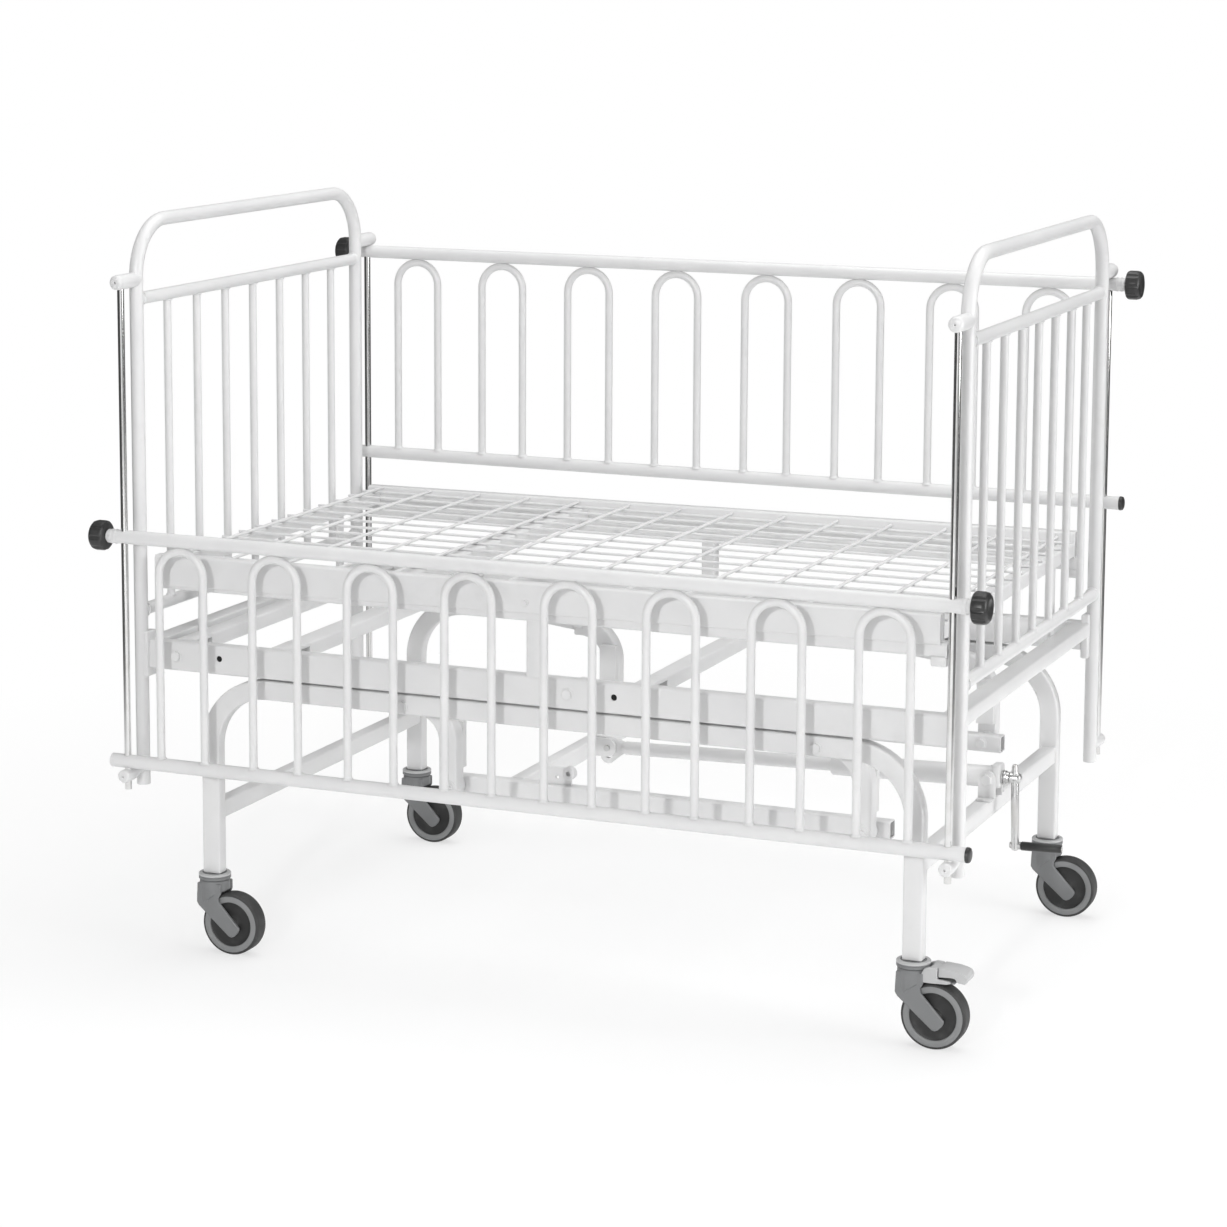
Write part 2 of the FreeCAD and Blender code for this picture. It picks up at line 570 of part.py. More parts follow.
# ---------------------------------------------------------------- tie bars
tie_centre_z = "lever_z - tie_drop"
tie_z = (f"{tie_centre_z} - tie_height / 2", f"{tie_centre_z} + tie_height / 2")
tie_solid, tie_bore = hollow_block(("-tie_head_x", "tie_foot_x"), ("-tie_outer_y", "-tie_inner_y"),
                                   tie_z, "X")
tie_bar = cut(tie_solid, tie_bore, *tie_pins[:2])
node("tie_bars", group(tie_bar, mirror(tie_bar, "Y")))
cross_x = ("-tie_cross_x - tie_cross_width / 2", "-tie_cross_x + tie_cross_width / 2")
cross_tube = hollow_bar(cross_x, ("-tie_inner_y", "tie_inner_y"), tie_z, "Y")
lug_bolt = rod("axle_dia", "2 * lug_half_gap + 2 * lug_plate + 8", "Y",
               "-drive_x", "-lug_half_gap - lug_plate - 4", "drive_z")
lug_plates = []
LUG_SIDES = (("-lug_half_gap - lug_plate", "-lug_half_gap"), ("lug_half_gap", "lug_half_gap + lug_plate"))
for low, high in LUG_SIDES:
    lug_plates.append(block((cross_x[1], "-drive_x"), (low, high),
                            ("drive_z - lug_height / 2", "drive_z + lug_height / 2")))
    lug_plates.append(rod("lug_height", "lug_plate", "Y", "-drive_x", low, "drive_z"))
lug_cheeks = [cut(fuse(*lug_plates[:2]), lug_bolt), cut(fuse(*lug_plates[2:]), lug_bolt)]
node("tie_cross_tube", group(cross_tube, *lug_cheeks))
node("drive_lug_bolt", lug_bolt)

# ---------------------------------------------------------------- crank drive, rising to the crank
rise = number("crank_z - drive_z")
run = number("crank_x + drive_x")
DRIVE_SLOPE = FreeCAD.Rotation(FreeCAD.Vector(0, 1, 0), -math.degrees(math.atan2(rise, run)))


def on_drive_line(feature):
    """Lay a piece built along +X from the lug bolt onto the sloping line of the drive."""
    holder = doc.addObject("Part::Compound", "OnDriveLine")
    holder.Links = [feature]
    holder.Placement = FreeCAD.Placement(FreeCAD.Vector(), DRIVE_SLOPE)
    locate(holder, "-drive_x", "0", "drive_z")
    return holder


tube_end = "housing_start + drive_overlap"
eye = block(("-lug_height / 2", "drive_eye"), ("0.5 - lug_half_gap", "lug_half_gap - 0.5"),
            ("-lug_height / 2 - drive_slot", "lug_height / 2"))
slot_width = "(axle_dia + 2 * slot_gap)"
slot = fuse(block((f"-{slot_width} / 2", f"{slot_width} / 2"), ("-lug_half_gap", "lug_half_gap"),
                  ("-drive_slot", "0")),
            rod(slot_width, "2 * lug_half_gap", "Y", "0", "-lug_half_gap", "0"),
            rod(slot_width, "2 * lug_half_gap", "Y", "0", "-lug_half_gap", "-drive_slot"))
barrel = cut(rod("drive_dia", f"{tube_end} - drive_eye", "X", "drive_eye", "0", "0"),
             rod("drive_bore", f"{tube_end} - drive_eye - 6", "X", "drive_eye + 6", "0", "0"))
node("drive_tube", on_drive_line(fuse(cut(eye, slot), barrel)))

screw_bore = "screw_dia + 2 * pin_gap"
nut = cut(rod("drive_bore", "nut_length", "X", f"{tube_end} - nut_length", "0", "0"),
          rod(screw_bore, "nut_length", "X", f"{tube_end} - nut_length", "0", "0"))
node("drive_nut", on_drive_line(nut))

housing_length = "housing_end - housing_start"
bearing_block = block(("housing_end - bearing_block", "housing_end"), ("-housing_dia / 2", "housing_dia / 2"),
                      ("-housing_dia / 2", "bearing_block_height - housing_dia"))
bearing_cap = rod("housing_dia", "bearing_block", "X", "housing_end - bearing_block",
                  "0", "bearing_block_height - housing_dia")
housing_solid = fuse(rod("housing_dia", housing_length, "X", "housing_start", "0", "0"),
                     bearing_block, bearing_cap)
housing = cut(housing_solid,
              rod("drive_dia + 2 * slide_gap", f"{housing_length} - bearing_length", "X",
                  "housing_start", "0", "0"),
              rod(screw_bore, housing_length, "X", "housing_start", "0", "0"))
node("screw_housing", on_drive_line(housing))

trunnion_x = "trunnion_x - drive_x"
trunnion_z = "drive_z + trunnion_x * (crank_z - drive_z) / (crank_x + drive_x)"
clevis = []
for side in ("-", ""):
    edges = (f"{side}housing_dia / 2", f"{side}(housing_dia / 2 + ear_thickness)")
    y = edges[::-1] if side == "-" else edges
    clevis.append(block((f"{trunnion_x} - ear_width / 2", f"{trunnion_x} + ear_width / 2"), y,
                        ("foot_bar_z + lower_bar_height", trunnion_z)))
    clevis.append(rod("ear_width", "ear_thickness", "Y", trunnion_x, y[0], trunnion_z))
ears = (fuse(*clevis[:2]), fuse(*clevis[2:]))
bolts = []
for side in ("-", ""):
    edges = (f"{side}(housing_dia / 2 + ear_thickness)",
             f"{side}(housing_dia / 2 + ear_thickness + trunnion_length)")
    y = edges[::-1] if side == "-" else edges
    bolts.append(rod("trunnion_dia", "trunnion_length", "Y", trunnion_x, y[0], trunnion_z))
node("crank_clevis", group(*ears, *bolts))

crank_start = "crank_x + drive_x"
screw = fuse(rod("screw_dia", "crank_x + drive_x - housing_start + 30", "X", "housing_start - 30", "0", "0"),
             rod("crank_boss_dia", "collar_stop", "X", "housing_end + slide_gap", "0", "0"))
boss = rod("crank_boss_dia", "crank_boss_length", "X", f"{crank_start} - crank_boss_length / 2", "0", "0")
node("lift_screw", on_drive_line(cut(screw, boss)))
arm = rod("crank_dia", "crank_drop + crank_stub", "Z", crank_start, "0", "-crank_drop")
knuckle = rod("knuckle_dia", "crank_boss_length", "X", f"{crank_start} - crank_boss_length / 2", "0",
              "-crank_drop")
spindle = rod("grip_bore", "grip_start + grip_length + 1", "X", f"{crank_start}", "0", "-crank_drop")
node("crank_arm", on_drive_line(fuse(boss, arm, knuckle, spindle)))
grip = cut(rod("grip_dia", "grip_length", "X", f"{crank_start} + grip_start", "0", "-crank_drop"),
           rod("grip_bore + 2 * pin_gap", "grip_length", "X", f"{crank_start} + grip_start", "0",
               "-crank_drop"))
node("crank_grip", on_drive_line(grip))


# ---------------------------------------------------------------- castors
half_wheel = "wheel_width / 2"
wheel_radius = "wheel_dia / 2"
rim = "wheel_dia / 2 - tyre_depth"
TYRE_OUTLINE = ((f"-{half_wheel}", rim), (half_wheel, rim), (half_wheel, f"{wheel_radius} - tyre_round"),
                (f"{half_wheel} - tyre_round", wheel_radius), (f"tyre_round - {half_wheel}", wheel_radius),
                (f"-{half_wheel}", f"{wheel_radius} - tyre_round"))
bore_radius = "axle_dia / 2 + pin_gap"
CORE_OUTLINE = ((f"-{half_wheel}", bore_radius), (half_wheel, bore_radius), (half_wheel, "hub_dia / 2"),
                (f"{half_wheel} - disc_recess", "hub_dia / 2"), (f"{half_wheel} - disc_recess", rim),
                (f"disc_recess - {half_wheel}", rim), (f"disc_recess - {half_wheel}", "hub_dia / 2"),
                (f"-{half_wheel}", "hub_dia / 2"))
PEDAL_OUTLINE = ((28, 110), (38, 110), (41, 113), (70, 114.5), (73, 107.5), (84, 106.5), (87, 109),
                 (88, 115), (85, 120.5), (78, 123.5), (66, 126), (50, 127), (30, 126.5))


def castor_fork(x, y, braked):
    """A swivel fork that trails towards +X; the braked one also has ears and a shield."""
    axle_x = f"{x} + castor_trail"
    fork_y = (f"{y} - fork_width / 2", f"{y} + fork_width / 2")
    crown_height = "leg_foot_z - collar_height - crown_gap - crown_low_z"
    crown = cut(rod("crown_dia", crown_height, "Z", x, y, "crown_low_z"),
                rod("2 * crown_relief", "2 * fork_width", "Y", axle_x, f"{y} - fork_width", wheel_radius))
    arms = strut((f"{x} - fork_lead", "wheel_dia / 2 + castor_trail + fork_lead"),
                 (f"{axle_x} + fork_reach", "wheel_dia / 2 - fork_reach"), "fork_arm", fork_y)
    solids = [crown, arms]
    holes = [rod("wheel_dia + 2 * wheel_gap", "fork_slot", "Y", axle_x, f"{y} - fork_slot / 2", wheel_radius),
             rod("kingpin_dia + 2 * pin_gap", "leg_foot_z - kingpin_z", "Z", x, y, "kingpin_z - 1")]
    extras = [rod("axle_dia", "fork_width", "Y", axle_x, fork_y[0], wheel_radius)]
    if braked:
        solids.append(block((x, f"{x} + shield_length"), (f"{y} - {half_wheel}", f"{y} + {half_wheel}"),
                            ("shield_z", "shield_z + shield_height")))
        extras.append(rod("pedal_pin_dia", "fork_width", "Y", f"{x} + pedal_pin_x", fork_y[0], "pedal_pin_z"))
        ear_x = (f"{x} + ear_start", f"{x} + ear_end")
        ear_z = ("shield_z", "ear_top_z")
        extras.append(block(ear_x, (fork_y[0], f"{y} - pedal_width / 2 - slide_gap"), ear_z))
        extras.append(block(ear_x, (f"{y} + pedal_width / 2 + slide_gap", fork_y[1]), ear_z))
    return fuse(cut(fuse(*solids), *holes), *extras)


def castor(name, x, y, braked):
    """The fork of one castor, its tyre and its wheel."""
    node(f"castor_fork_{name}", castor_fork(x, y, braked))
    for label, points in (("tyre", TYRE_OUTLINE), ("wheel", CORE_OUTLINE)):
        body = turned(f"{label}_{name}", points)
        body.Placement = FreeCAD.Placement(FreeCAD.Vector(), FreeCAD.Rotation(FreeCAD.Vector(0, 0, 1), 90))
        locate(body, f"{x} + castor_trail", y, wheel_radius)
        node(f"castor_{label}_{name}", body)


CASTORS = (("head_near", "-head_leg_x", "-arch_y", False), ("head_far", "-head_leg_x", "arch_y", False),
           ("foot_near", "foot_leg_x", "-arch_y", True), ("foot_far", "foot_leg_x", "arch_y", False))
heads = []
for castor_name, leg_x, leg_y, braked in CASTORS:
    castor(castor_name, leg_x, leg_y, braked)
    heads.append(fuse(rod("collar_dia", "collar_height", "Z", leg_x, leg_y, "leg_foot_z - collar_height"),
                      rod("kingpin_dia", "leg_foot_z + stem_length - kingpin_z", "Z", leg_x, leg_y,
                          "kingpin_z")))
node("castor_heads", group(*heads))

pedal = plate("Pedal", PEDAL_OUTLINE, "pedal_width")
locate(pedal, "foot_leg_x", "-arch_y", "0")
pedal_bore = rod("pedal_pin_dia + 2 * pin_gap", "fork_width", "Y",
                 "foot_leg_x + pedal_pin_x", "-arch_y - fork_width / 2", "pedal_pin_z")
node("brake_pedal", cut(pedal, pedal_bore))

# ---------------------------------------------------------------- check and write
doc.recompute()
for item in doc.Objects:
    if {"Invalid", "Error"} & set(item.State):
        raise RuntimeError(f"{item.Name} ({item.Label}) failed: {item.State}")
labels = [item.Label for item in nodes]
if len(set(labels)) != len(labels) or len(labels) > 60:
    raise RuntimeError(f"{len(labels)} pieces, {len(set(labels))} names")
STEEL_DENSITY = 7.85e-6
total = 0
for item in nodes:
    shape = item.Shape
    if shape.isNull() or not shape.isValid() or shape.Volume <= 0:
        raise RuntimeError(f"{item.Label} has a bad shape")
for item in nodes:
    item.Shape.exportStep(f"parts/{item.Label}.step")
    total += item.Shape.Volume
    print(f"{item.Label:28s} solids {len(item.Shape.Solids):3d}  volume {item.Shape.Volume / 1000:9.1f} cm3")
print(f"{len(nodes)} nodes, about {total * STEEL_DENSITY:.1f} kg if all were steel")
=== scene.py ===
# %% [markdown]
# A pediatric hospital cot in Blender.
#
# The construction comes from a CAD model: every tube, lever and castor is already there at its real
# size.  This lesson dresses it.  It gives each piece the finish that the real one has, models the
# small forms that a CAD solid leaves out, and sets up a plain studio.

# %% Load the model
import math

import bmesh
import bpy
from mathutils import Matrix, Vector


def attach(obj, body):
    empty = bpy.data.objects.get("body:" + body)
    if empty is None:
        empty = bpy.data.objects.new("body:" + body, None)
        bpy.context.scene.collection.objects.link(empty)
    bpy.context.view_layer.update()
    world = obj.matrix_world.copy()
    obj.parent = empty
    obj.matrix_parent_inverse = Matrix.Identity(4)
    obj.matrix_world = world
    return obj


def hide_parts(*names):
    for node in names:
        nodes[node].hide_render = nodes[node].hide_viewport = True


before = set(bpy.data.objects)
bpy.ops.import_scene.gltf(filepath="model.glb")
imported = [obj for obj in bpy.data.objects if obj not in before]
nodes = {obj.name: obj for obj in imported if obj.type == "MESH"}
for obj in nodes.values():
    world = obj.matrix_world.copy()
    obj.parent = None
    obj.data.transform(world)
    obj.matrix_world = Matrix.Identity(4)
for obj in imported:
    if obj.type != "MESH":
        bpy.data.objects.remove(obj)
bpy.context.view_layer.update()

MM = 0.001

# %% [markdown]
# **Camera.**  It stands on the near side, a little beyond the foot end, some 5 metres away at eye
# height, and looks a little down.  A tilted camera makes upright posts lean apart.  A vertical
# shift of the lens lets it tilt less, so the posts stay almost upright; the shift is kept small,
# because a large one would push the bows out of the picture when the camera moves round the cot.

# %% Camera
CAMERA_PLACE = Vector((2.0399, -4.9692, 1.6139))
CAMERA_YAW, CAMERA_PITCH, CAMERA_ROLL = (math.radians(angle) for angle in (22.54, -8.26, 0.30))
FOCAL_PIXELS, FRAME_PIXELS, CENTRE_ROW = 3351.1, 1227, 430


def camera_axes(yaw, pitch, roll):
    """The right, up and forward directions of a camera."""
    level = Vector((-math.sin(yaw), math.cos(yaw), 0))
    forward = level * math.cos(pitch) + Vector((0, 0, math.sin(pitch)))
    right = Vector((math.cos(yaw), math.sin(yaw), 0))
    up = right.cross(forward)
    return (right * math.cos(roll) + up * math.sin(roll),
            up * math.cos(roll) - right * math.sin(roll), forward)


right, up, forward = camera_axes(CAMERA_YAW, CAMERA_PITCH, CAMERA_ROLL)
lens = bpy.data.cameras.new("camera")
lens.sensor_width = 36
lens.lens = FOCAL_PIXELS / FRAME_PIXELS * lens.sensor_width
lens.shift_y = (CENTRE_ROW - FRAME_PIXELS / 2) / FRAME_PIXELS
lens.clip_end = 100
camera = bpy.data.objects.new("camera", lens)
turn = Matrix((right, up, -forward)).transposed().to_4x4()
camera.matrix_world = Matrix.Translation(CAMERA_PLACE) @ turn
bpy.context.scene.collection.objects.link(camera)
bpy.context.scene.camera = camera
print(f"lens {lens.lens:.1f} mm, shift {lens.shift_y:.3f}")

# %% [markdown]
# **Shader maths** reads best as ordinary sums.  The nodes could be placed one by one, but a line
# such as `lines * 0.1 + 0.3` says at once what they do.  One small class holds a socket and turns
# `+`, `*` and so on into Math nodes, also where the number comes first, as in `1 - mask`.  Its
# `add` method makes any other node.


# %% A socket that can be used in sums
class Socket:
    """A node's output, or the start of a material when it has none."""

    def __init__(self, tree, out=None):
        self.tree = tree
        self.out = out

    def add(self, kind, settings=None, inputs=None, output=0):
        """Add a node: first its settings, then the values or links of its sockets."""
        node = self.tree.nodes.new(kind)
        for name, value in (settings or {}).items():
            setattr(node, name, value)
        for name, value in (inputs or {}).items():
            if isinstance(value, Socket):
                self.tree.links.new(value.out, node.inputs[name])
            else:
                node.inputs[name].default_value = value
        return Socket(self.tree, node.outputs[output])

    def maths(self, operation, *values):
        return self.add("ShaderNodeMath", {"operation": operation}, dict(enumerate(values)))

    def __add__(self, other):
        return self.maths("ADD", self, other)

    def __sub__(self, other):
        return self.maths("SUBTRACT", self, other)

    def __rsub__(self, other):
        return self.maths("SUBTRACT", other, self)

    def __mul__(self, other):
        return self.maths("MULTIPLY", self, other)

    def __truediv__(self, other):
        return self.maths("DIVIDE", self, other)

    __radd__ = __add__
    __rmul__ = __mul__

    def ramp(self, low, high):
        """0 below low, 1 above high, smooth between."""
        return self.add("ShaderNodeMapRange", {"interpolation_type": "SMOOTHSTEP"},
                        {"Value": self, "From Min": low, "From Max": high})

    def blend(self, first, second):
        """A colour that goes from the first to the second as this value goes from 0 to 1."""
        return self.add("ShaderNodeMix", {"data_type": "RGBA"},
                        {0: self, 6: first, 7: second}, output=2)


print("sockets can be added and multiplied")

# %% [markdown]
# **Material helpers.**  Every material of the cot is a Principled shader.  What is the same all
# over a surface is set on the shader's own socket, and only what varies is linked, so that the
# finish survives an export.  The noise is taken in object coordinates, so no tube is unwrapped.


# %% Material helpers
def grey(value, tint=(0, 0, 0)):
    """An opaque colour of one brightness, with a slight tint."""
    return tuple(value + shift for shift in tint) + (1,)


def new_material(name, **fixed):
    """A material with a Principled shader whose unvarying sockets are set at once."""
    material = bpy.data.materials.new(name)
    material.use_nodes = True
    shader = material.node_tree.nodes["Principled BSDF"]
    for socket, value in fixed.items():
        shader.inputs[socket.replace("_", " ")].default_value = value
    return material, shader, Socket(material.node_tree)


def connect(shader, **sources):
    for socket, source in sources.items():
        shader.id_data.links.new(source.out, shader.inputs[socket.replace("_", " ")])


def noise(start, scale, detail=3, roughness=0.5, vector=None):
    place = vector or start.add("ShaderNodeTexCoord", output="Object")
    return start.add("ShaderNodeTexNoise", None,
                     {"Vector": place, "Scale": scale, "Detail": detail, "Roughness": roughness})


def bump(start, strength, distance, height):
    return start.add("ShaderNodeBump", None,
                     {"Strength": strength, "Distance": distance, "Height": height})


print("material helpers ready")

# %% [markdown]
# **White powder coat.**  The steel tubes are sprayed with white powder and baked.  The film is
# glossy with a faint orange peel.  One plain white would look like paper, so layers of noise do
# what use does: the tone is a little uneven, handled tubes carry soft grey rubs, and there are a
# few tiny chips.


# %% Powder coat
def powder_coat(name, tone, rub, chip):
    """White paint: `rub` and `chip` say how strongly wear shows."""
    material, shader, start = new_material(name, Specular_IOR_Level=0.5)
    cloud = noise(start, 9, detail=4)
    mottle = noise(start, 46, detail=5, roughness=0.6)
    worn = noise(start, 3.1, detail=6, roughness=0.65).ramp(0.52, 0.74)
    smudge = worn * mottle.ramp(0.35, 0.75)
    knocked = noise(start, 21, detail=2).ramp(0.58, 0.70)
    fleck = noise(start, 620, detail=2).ramp(0.76, 0.80) * knocked
    clean = cloud.ramp(0.30, 0.72).blend(grey(tone), grey(tone - 0.035, (0, 0, 0.004)))
    rubbed = (smudge * rub).blend(clean, grey(tone * 0.80, (0.002, 0, -0.004)))
    connect(shader,
            Base_Color=(fleck * chip).blend(rubbed, grey(0.30, (0.01, 0, -0.01))),
            Roughness=mottle * 0.14 + smudge * 0.15 + 0.27,
            Normal=bump(start, 0.10, 0.0004, noise(start, 420, detail=2)))
    return material


white_coat = powder_coat("white_powder_coat", tone=0.72, rub=0.5, chip=0.6)
print("made", white_coat.name)

# %% [markdown]
# **Chrome and zinc.**  The guide rods and the crank are chromed, the hidden screw is zinc plated.
# Metal shows its surroundings, so its look comes from its roughness.  Noise stretched along the rod
# gives the fine lines of drawn steel, and a second noise the bloom of fingers.


# %% Chrome and zinc
def plated(name, tone, rough):
    material, shader, start = new_material(name, Metallic=1)
    place = start.add("ShaderNodeTexCoord", output="Object")
    drawn = start.add("ShaderNodeMapping", None, {"Vector": place, "Scale": (900, 900, 7)})
    lines = noise(start, 1, vector=drawn)
    bloom = noise(start, 37, detail=4)
    dull = grey(tone * 0.88, (0.006, 0, -0.012))
    connect(shader,
            Base_Color=bloom.ramp(0.35, 0.75).blend(grey(tone), dull),
            Roughness=lines * 0.10 + bloom * 0.08 + rough)
    return material


chrome = plated("chrome_plate", 0.74, 0.02)
satin_chrome = plated("satin_chrome", 0.66, 0.20)
zinc = plated("zinc_plate", 0.60, 0.22)
print("made", chrome.name, satin_chrome.name, zinc.name)

# %% [markdown]
# **Plastics and rubber.**  The knobs and caps are black moulded plastic, the castor forks grey
# nylon, and the tyres a soft dark rubber.  They differ in tone, gloss and grain but are made alike,
# so one function with a few numbers serves them all.


# %% Plastics
def moulded(name, tone, tint=(0, 0, 0), rough=0.38, grain=300, depth=0.12, dust=0.2):
    """A moulded surface: `grain` is how fine its texture is, `depth` how strong."""
    material, shader, start = new_material(name, Specular_IOR_Level=0.5)
    patch = noise(start, 33, detail=4)
    dusty = patch.ramp(0.45, 0.80) * dust
    connect(shader,
            Base_Color=dusty.blend(grey(tone, tint), grey(tone + 0.10, tint)),
            Roughness=patch * 0.16 + rough - 0.08,
            Normal=bump(start, depth, 0.0005, noise(start, grain)))
    return material


black_plastic = moulded("black_plastic", 0.022, rough=0.36)
grey_nylon = moulded("grey_nylon", 0.185, (0, 0.004, 0.007), rough=0.48)
pedal_nylon = moulded("pale_grey_nylon", 0.46, (0, 0.003, 0.005), rough=0.45)
wheel_grey = moulded("wheel_ring_grey", 0.23, (0, 0.004, 0.006), rough=0.5)
wheel_black = moulded("wheel_disc_black", 0.016, rough=0.5, dust=0.35)
tyre_rubber = moulded("tyre_rubber", 0.038, rough=0.62, grain=700, depth=0.3)
# A near-black for painted shade: the discs inside the shallow accessory holes.
hole_shade_black = moulded("painted_hole_shade", 0.006, rough=0.9, dust=0.05)
print("made the plastics")

# %% [markdown]
# **Finishes for the CAD pieces.**  They could be painted one by one, but each is named for what it
# is, so a short list of words sorts all of them.  The first word that fits decides, and a piece
# that none fits is white.

# %% Finishes for the CAD pieces
FINISHES = (("castor_tyre", tyre_rubber), ("castor_wheel", wheel_black), ("castor_", grey_nylon),
            ("brake_pedal", pedal_nylon), ("_knob_", black_plastic), ("_plugs", black_plastic),
            ("crank_grip", black_plastic), ("guide_rods", chrome), ("crank_arm", chrome),
            ("lift_screw", zinc), ("drive_lug_bolt", zinc), ("drive_nut", zinc))
for name, piece in nodes.items():
    finish = next((material for word, material in FINISHES if word in name), white_coat)
    piece.data.materials.clear()
    piece.data.materials.append(finish)
print("finished", len(nodes), "pieces")

# %% [markdown]
# **Modelling by hand.**  Each new piece starts as a primitive at its real size and place, in
# millimetres, and is shaped in edit mode.  A mesh could also be typed in as a list of points, but
# then nothing would tell how the shape comes about.  These helpers do what a modeller does with
# the mouse: clear the selection, add a primitive, pick faces or edges by where they are, push them
# out.


# %% Selecting and adding
def mm(*numbers):
    """Millimetres to Blender's metres."""
    return Vector(numbers) * MM


def only(*pieces):
    """Back to object mode with nothing but these pieces selected."""
    if bpy.context.mode != "OBJECT":
        bpy.ops.object.mode_set(mode="OBJECT")
    bpy.ops.object.select_all(action="DESELECT")
    for piece in pieces:
        piece.select_set(True)
    bpy.context.view_layer.objects.active = pieces[0] if pieces else None


def add(kind, **settings):
    """A primitive whose place, turn and size go straight into its mesh."""
    only()
    getattr(bpy.ops.mesh, f"primitive_{kind}_add")(**settings)
    bpy.ops.object.transform_apply(location=True, rotation=True, scale=True)
    return bpy.context.object


def block(low, high):
    low, high = mm(*low), mm(*high)
    return add("cube", size=1, location=(low + high) / 2, scale=high - low)


def rod(radius, start, end, sides=32):
    start, end = mm(*start), mm(*end)
    turn = (end - start).to_track_quat("Z", "Y").to_euler()
    return add("cylinder", vertices=sides, radius=radius * MM, depth=(end - start).length,
               location=(start + end) / 2, rotation=turn)


def pick(piece, test, kind="FACE"):
    """In edit mode, select the faces or edges whose centre (in mm) and direction pass a test."""
    only(piece)
    bpy.ops.object.mode_set(mode="EDIT")
    bpy.ops.mesh.select_mode(type=kind)
    bpy.ops.mesh.select_all(action="DESELECT")
    mesh = bmesh.from_edit_mesh(piece.data)
    for part in mesh.faces if kind == "FACE" else mesh.edges:
        first, second = part.verts[0].co, part.verts[1].co
        direction = part.normal if kind == "FACE" else (first - second).normalized()
        centre = sum((corner.co for corner in part.verts), Vector()) / len(part.verts)
        if test(centre / MM, direction):
            part.select_set(True)
    bmesh.update_edit_mesh(piece.data)


def extrude(*step):
    bpy.ops.mesh.extrude_region_move(TRANSFORM_OT_translate={"value": mm(*step)})


print("primitives and picking ready")

# %% [markdown]
# **Modifiers and edges.**  A real edge is never sharp: it catches a thin light.  A bevel modifier
# rounds the edges that turn by a clear angle and leaves the facets of a round alone.  Holes are cut
# by a boolean with a rod.  Each modifier is applied at once, so the next tool works on real faces.


# %% Modifiers and edges
def modify(piece, kind, **settings):
    """Add a modifier and apply it at once."""
    only(piece)
    modifier = piece.modifiers.new(kind.title(), kind)
    for name, value in settings.items():
        setattr(modifier, name, value)
    bpy.ops.object.modifier_apply(modifier=modifier.name)
    return piece


def soften(piece, width, segments=2):
    """Round every edge that turns by more than 35 degrees."""
    return modify(piece, "BEVEL", width=width * MM, segments=segments, limit_method="ANGLE",
                  angle_limit=math.radians(35))


def round_corners(piece, radius, test, segments=8):
    """Round the edges that pass a test, as `pick` gives them."""
    pick(piece, test, "EDGE")
    bpy.ops.mesh.bevel(offset=radius * MM, segments=segments, affect="EDGES")
    return piece


def drill(piece, radius, start, end, sides=24):
    """Cut a round hole right through."""
    tool = rod(radius, start, end, sides)
    modify(piece, "BOOLEAN", object=tool, operation="DIFFERENCE", solver="EXACT")
    bpy.data.objects.remove(tool)
    return piece


print("bevels and drills ready")

# %% [markdown]
# **Copies.**  The cot is nearly the same left and right, and head and foot.  A mirror modifier
# could do that, but a copy with its own mesh can ride on a body of its own.  A mirrored mesh has
# its faces inside out, so they are turned back.


# %% Copies and joins
FLIP_X, FLIP_Y = Matrix.Scale(-1, 4, (1, 0, 0)), Matrix.Scale(-1, 4, (0, 1, 0))


def copy_of(piece, place):
    """A copy with its own mesh, moved or mirrored by a matrix."""
    twin = piece.copy()
    twin.data = piece.data.copy()
    bpy.context.scene.collection.objects.link(twin)
    twin.data.transform(place)
    if place.determinant() < 0:
        twin.data.flip_normals()
    return twin


def joined(pieces):
    only(*pieces)
    bpy.ops.object.join()
    return bpy.context.object


def both_sides(piece, flip=FLIP_Y):
    """The piece and its mirror image as one."""
    return joined([piece, copy_of(piece, flip)])


def discard(*models):
    for model in models:
        bpy.data.objects.remove(model)


print("copies ready")

# %% [markdown]
# ** Dressing.** A finished piece is named, smoothed and painted. Then it is tied to the body of
# the model that it moves with, and the CAD pieces that it stands for are hidden.  Most pieces are
# white, so white is what `dress` takes unless told otherwise.


# %% Dress a finished piece
def tidy():
    """In edit mode, weld doubled points and turn every face outward."""
    bpy.ops.mesh.select_all(action="SELECT")
    bpy.ops.mesh.remove_doubles(threshold=0.00001)
    bpy.ops.mesh.normals_make_consistent(inside=False)
    bpy.ops.object.mode_set(mode="OBJECT")


def dress(piece, name, body, stands_for=None, finish=white_coat):
    """Name a finished piece, smooth it, paint it and tie it to a body of the model."""
    only(piece)
    bpy.ops.object.mode_set(mode="EDIT")
    tidy()
    bpy.ops.object.shade_smooth_by_angle(angle=math.radians(38))
    piece.name = piece.data.name = name
    piece.data.materials.clear()
    piece.data.materials.append(finish)
    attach(piece, body)
    if stands_for:
        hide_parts(stands_for)
    print(f"{name}: {len(piece.data.polygons)} faces, rides on {body}")


print("dressing ready")

# %% [markdown]
# **Turning and tracing.**  Knobs, bolts, wheels and caps are turned on a lathe; lugs and the pedal
# are cut from plate.  Both begin with an outline: the plane primitive is merged to one point, and
# the point is extruded from corner to corner.  The lathe then spins the outline, and the plate
# fills it.  This needs one outline where stacked cylinders and cones would need ten pieces.

# %% A lathe and a plate cutter
AXES = {"X": Vector((1, 0, 0)), "Y": Vector((0, 1, 0)), "Z": Vector((0, 0, 1))}
OUTWARD = {"X": AXES["Z"], "Y": AXES["Z"], "Z": AXES["X"]}


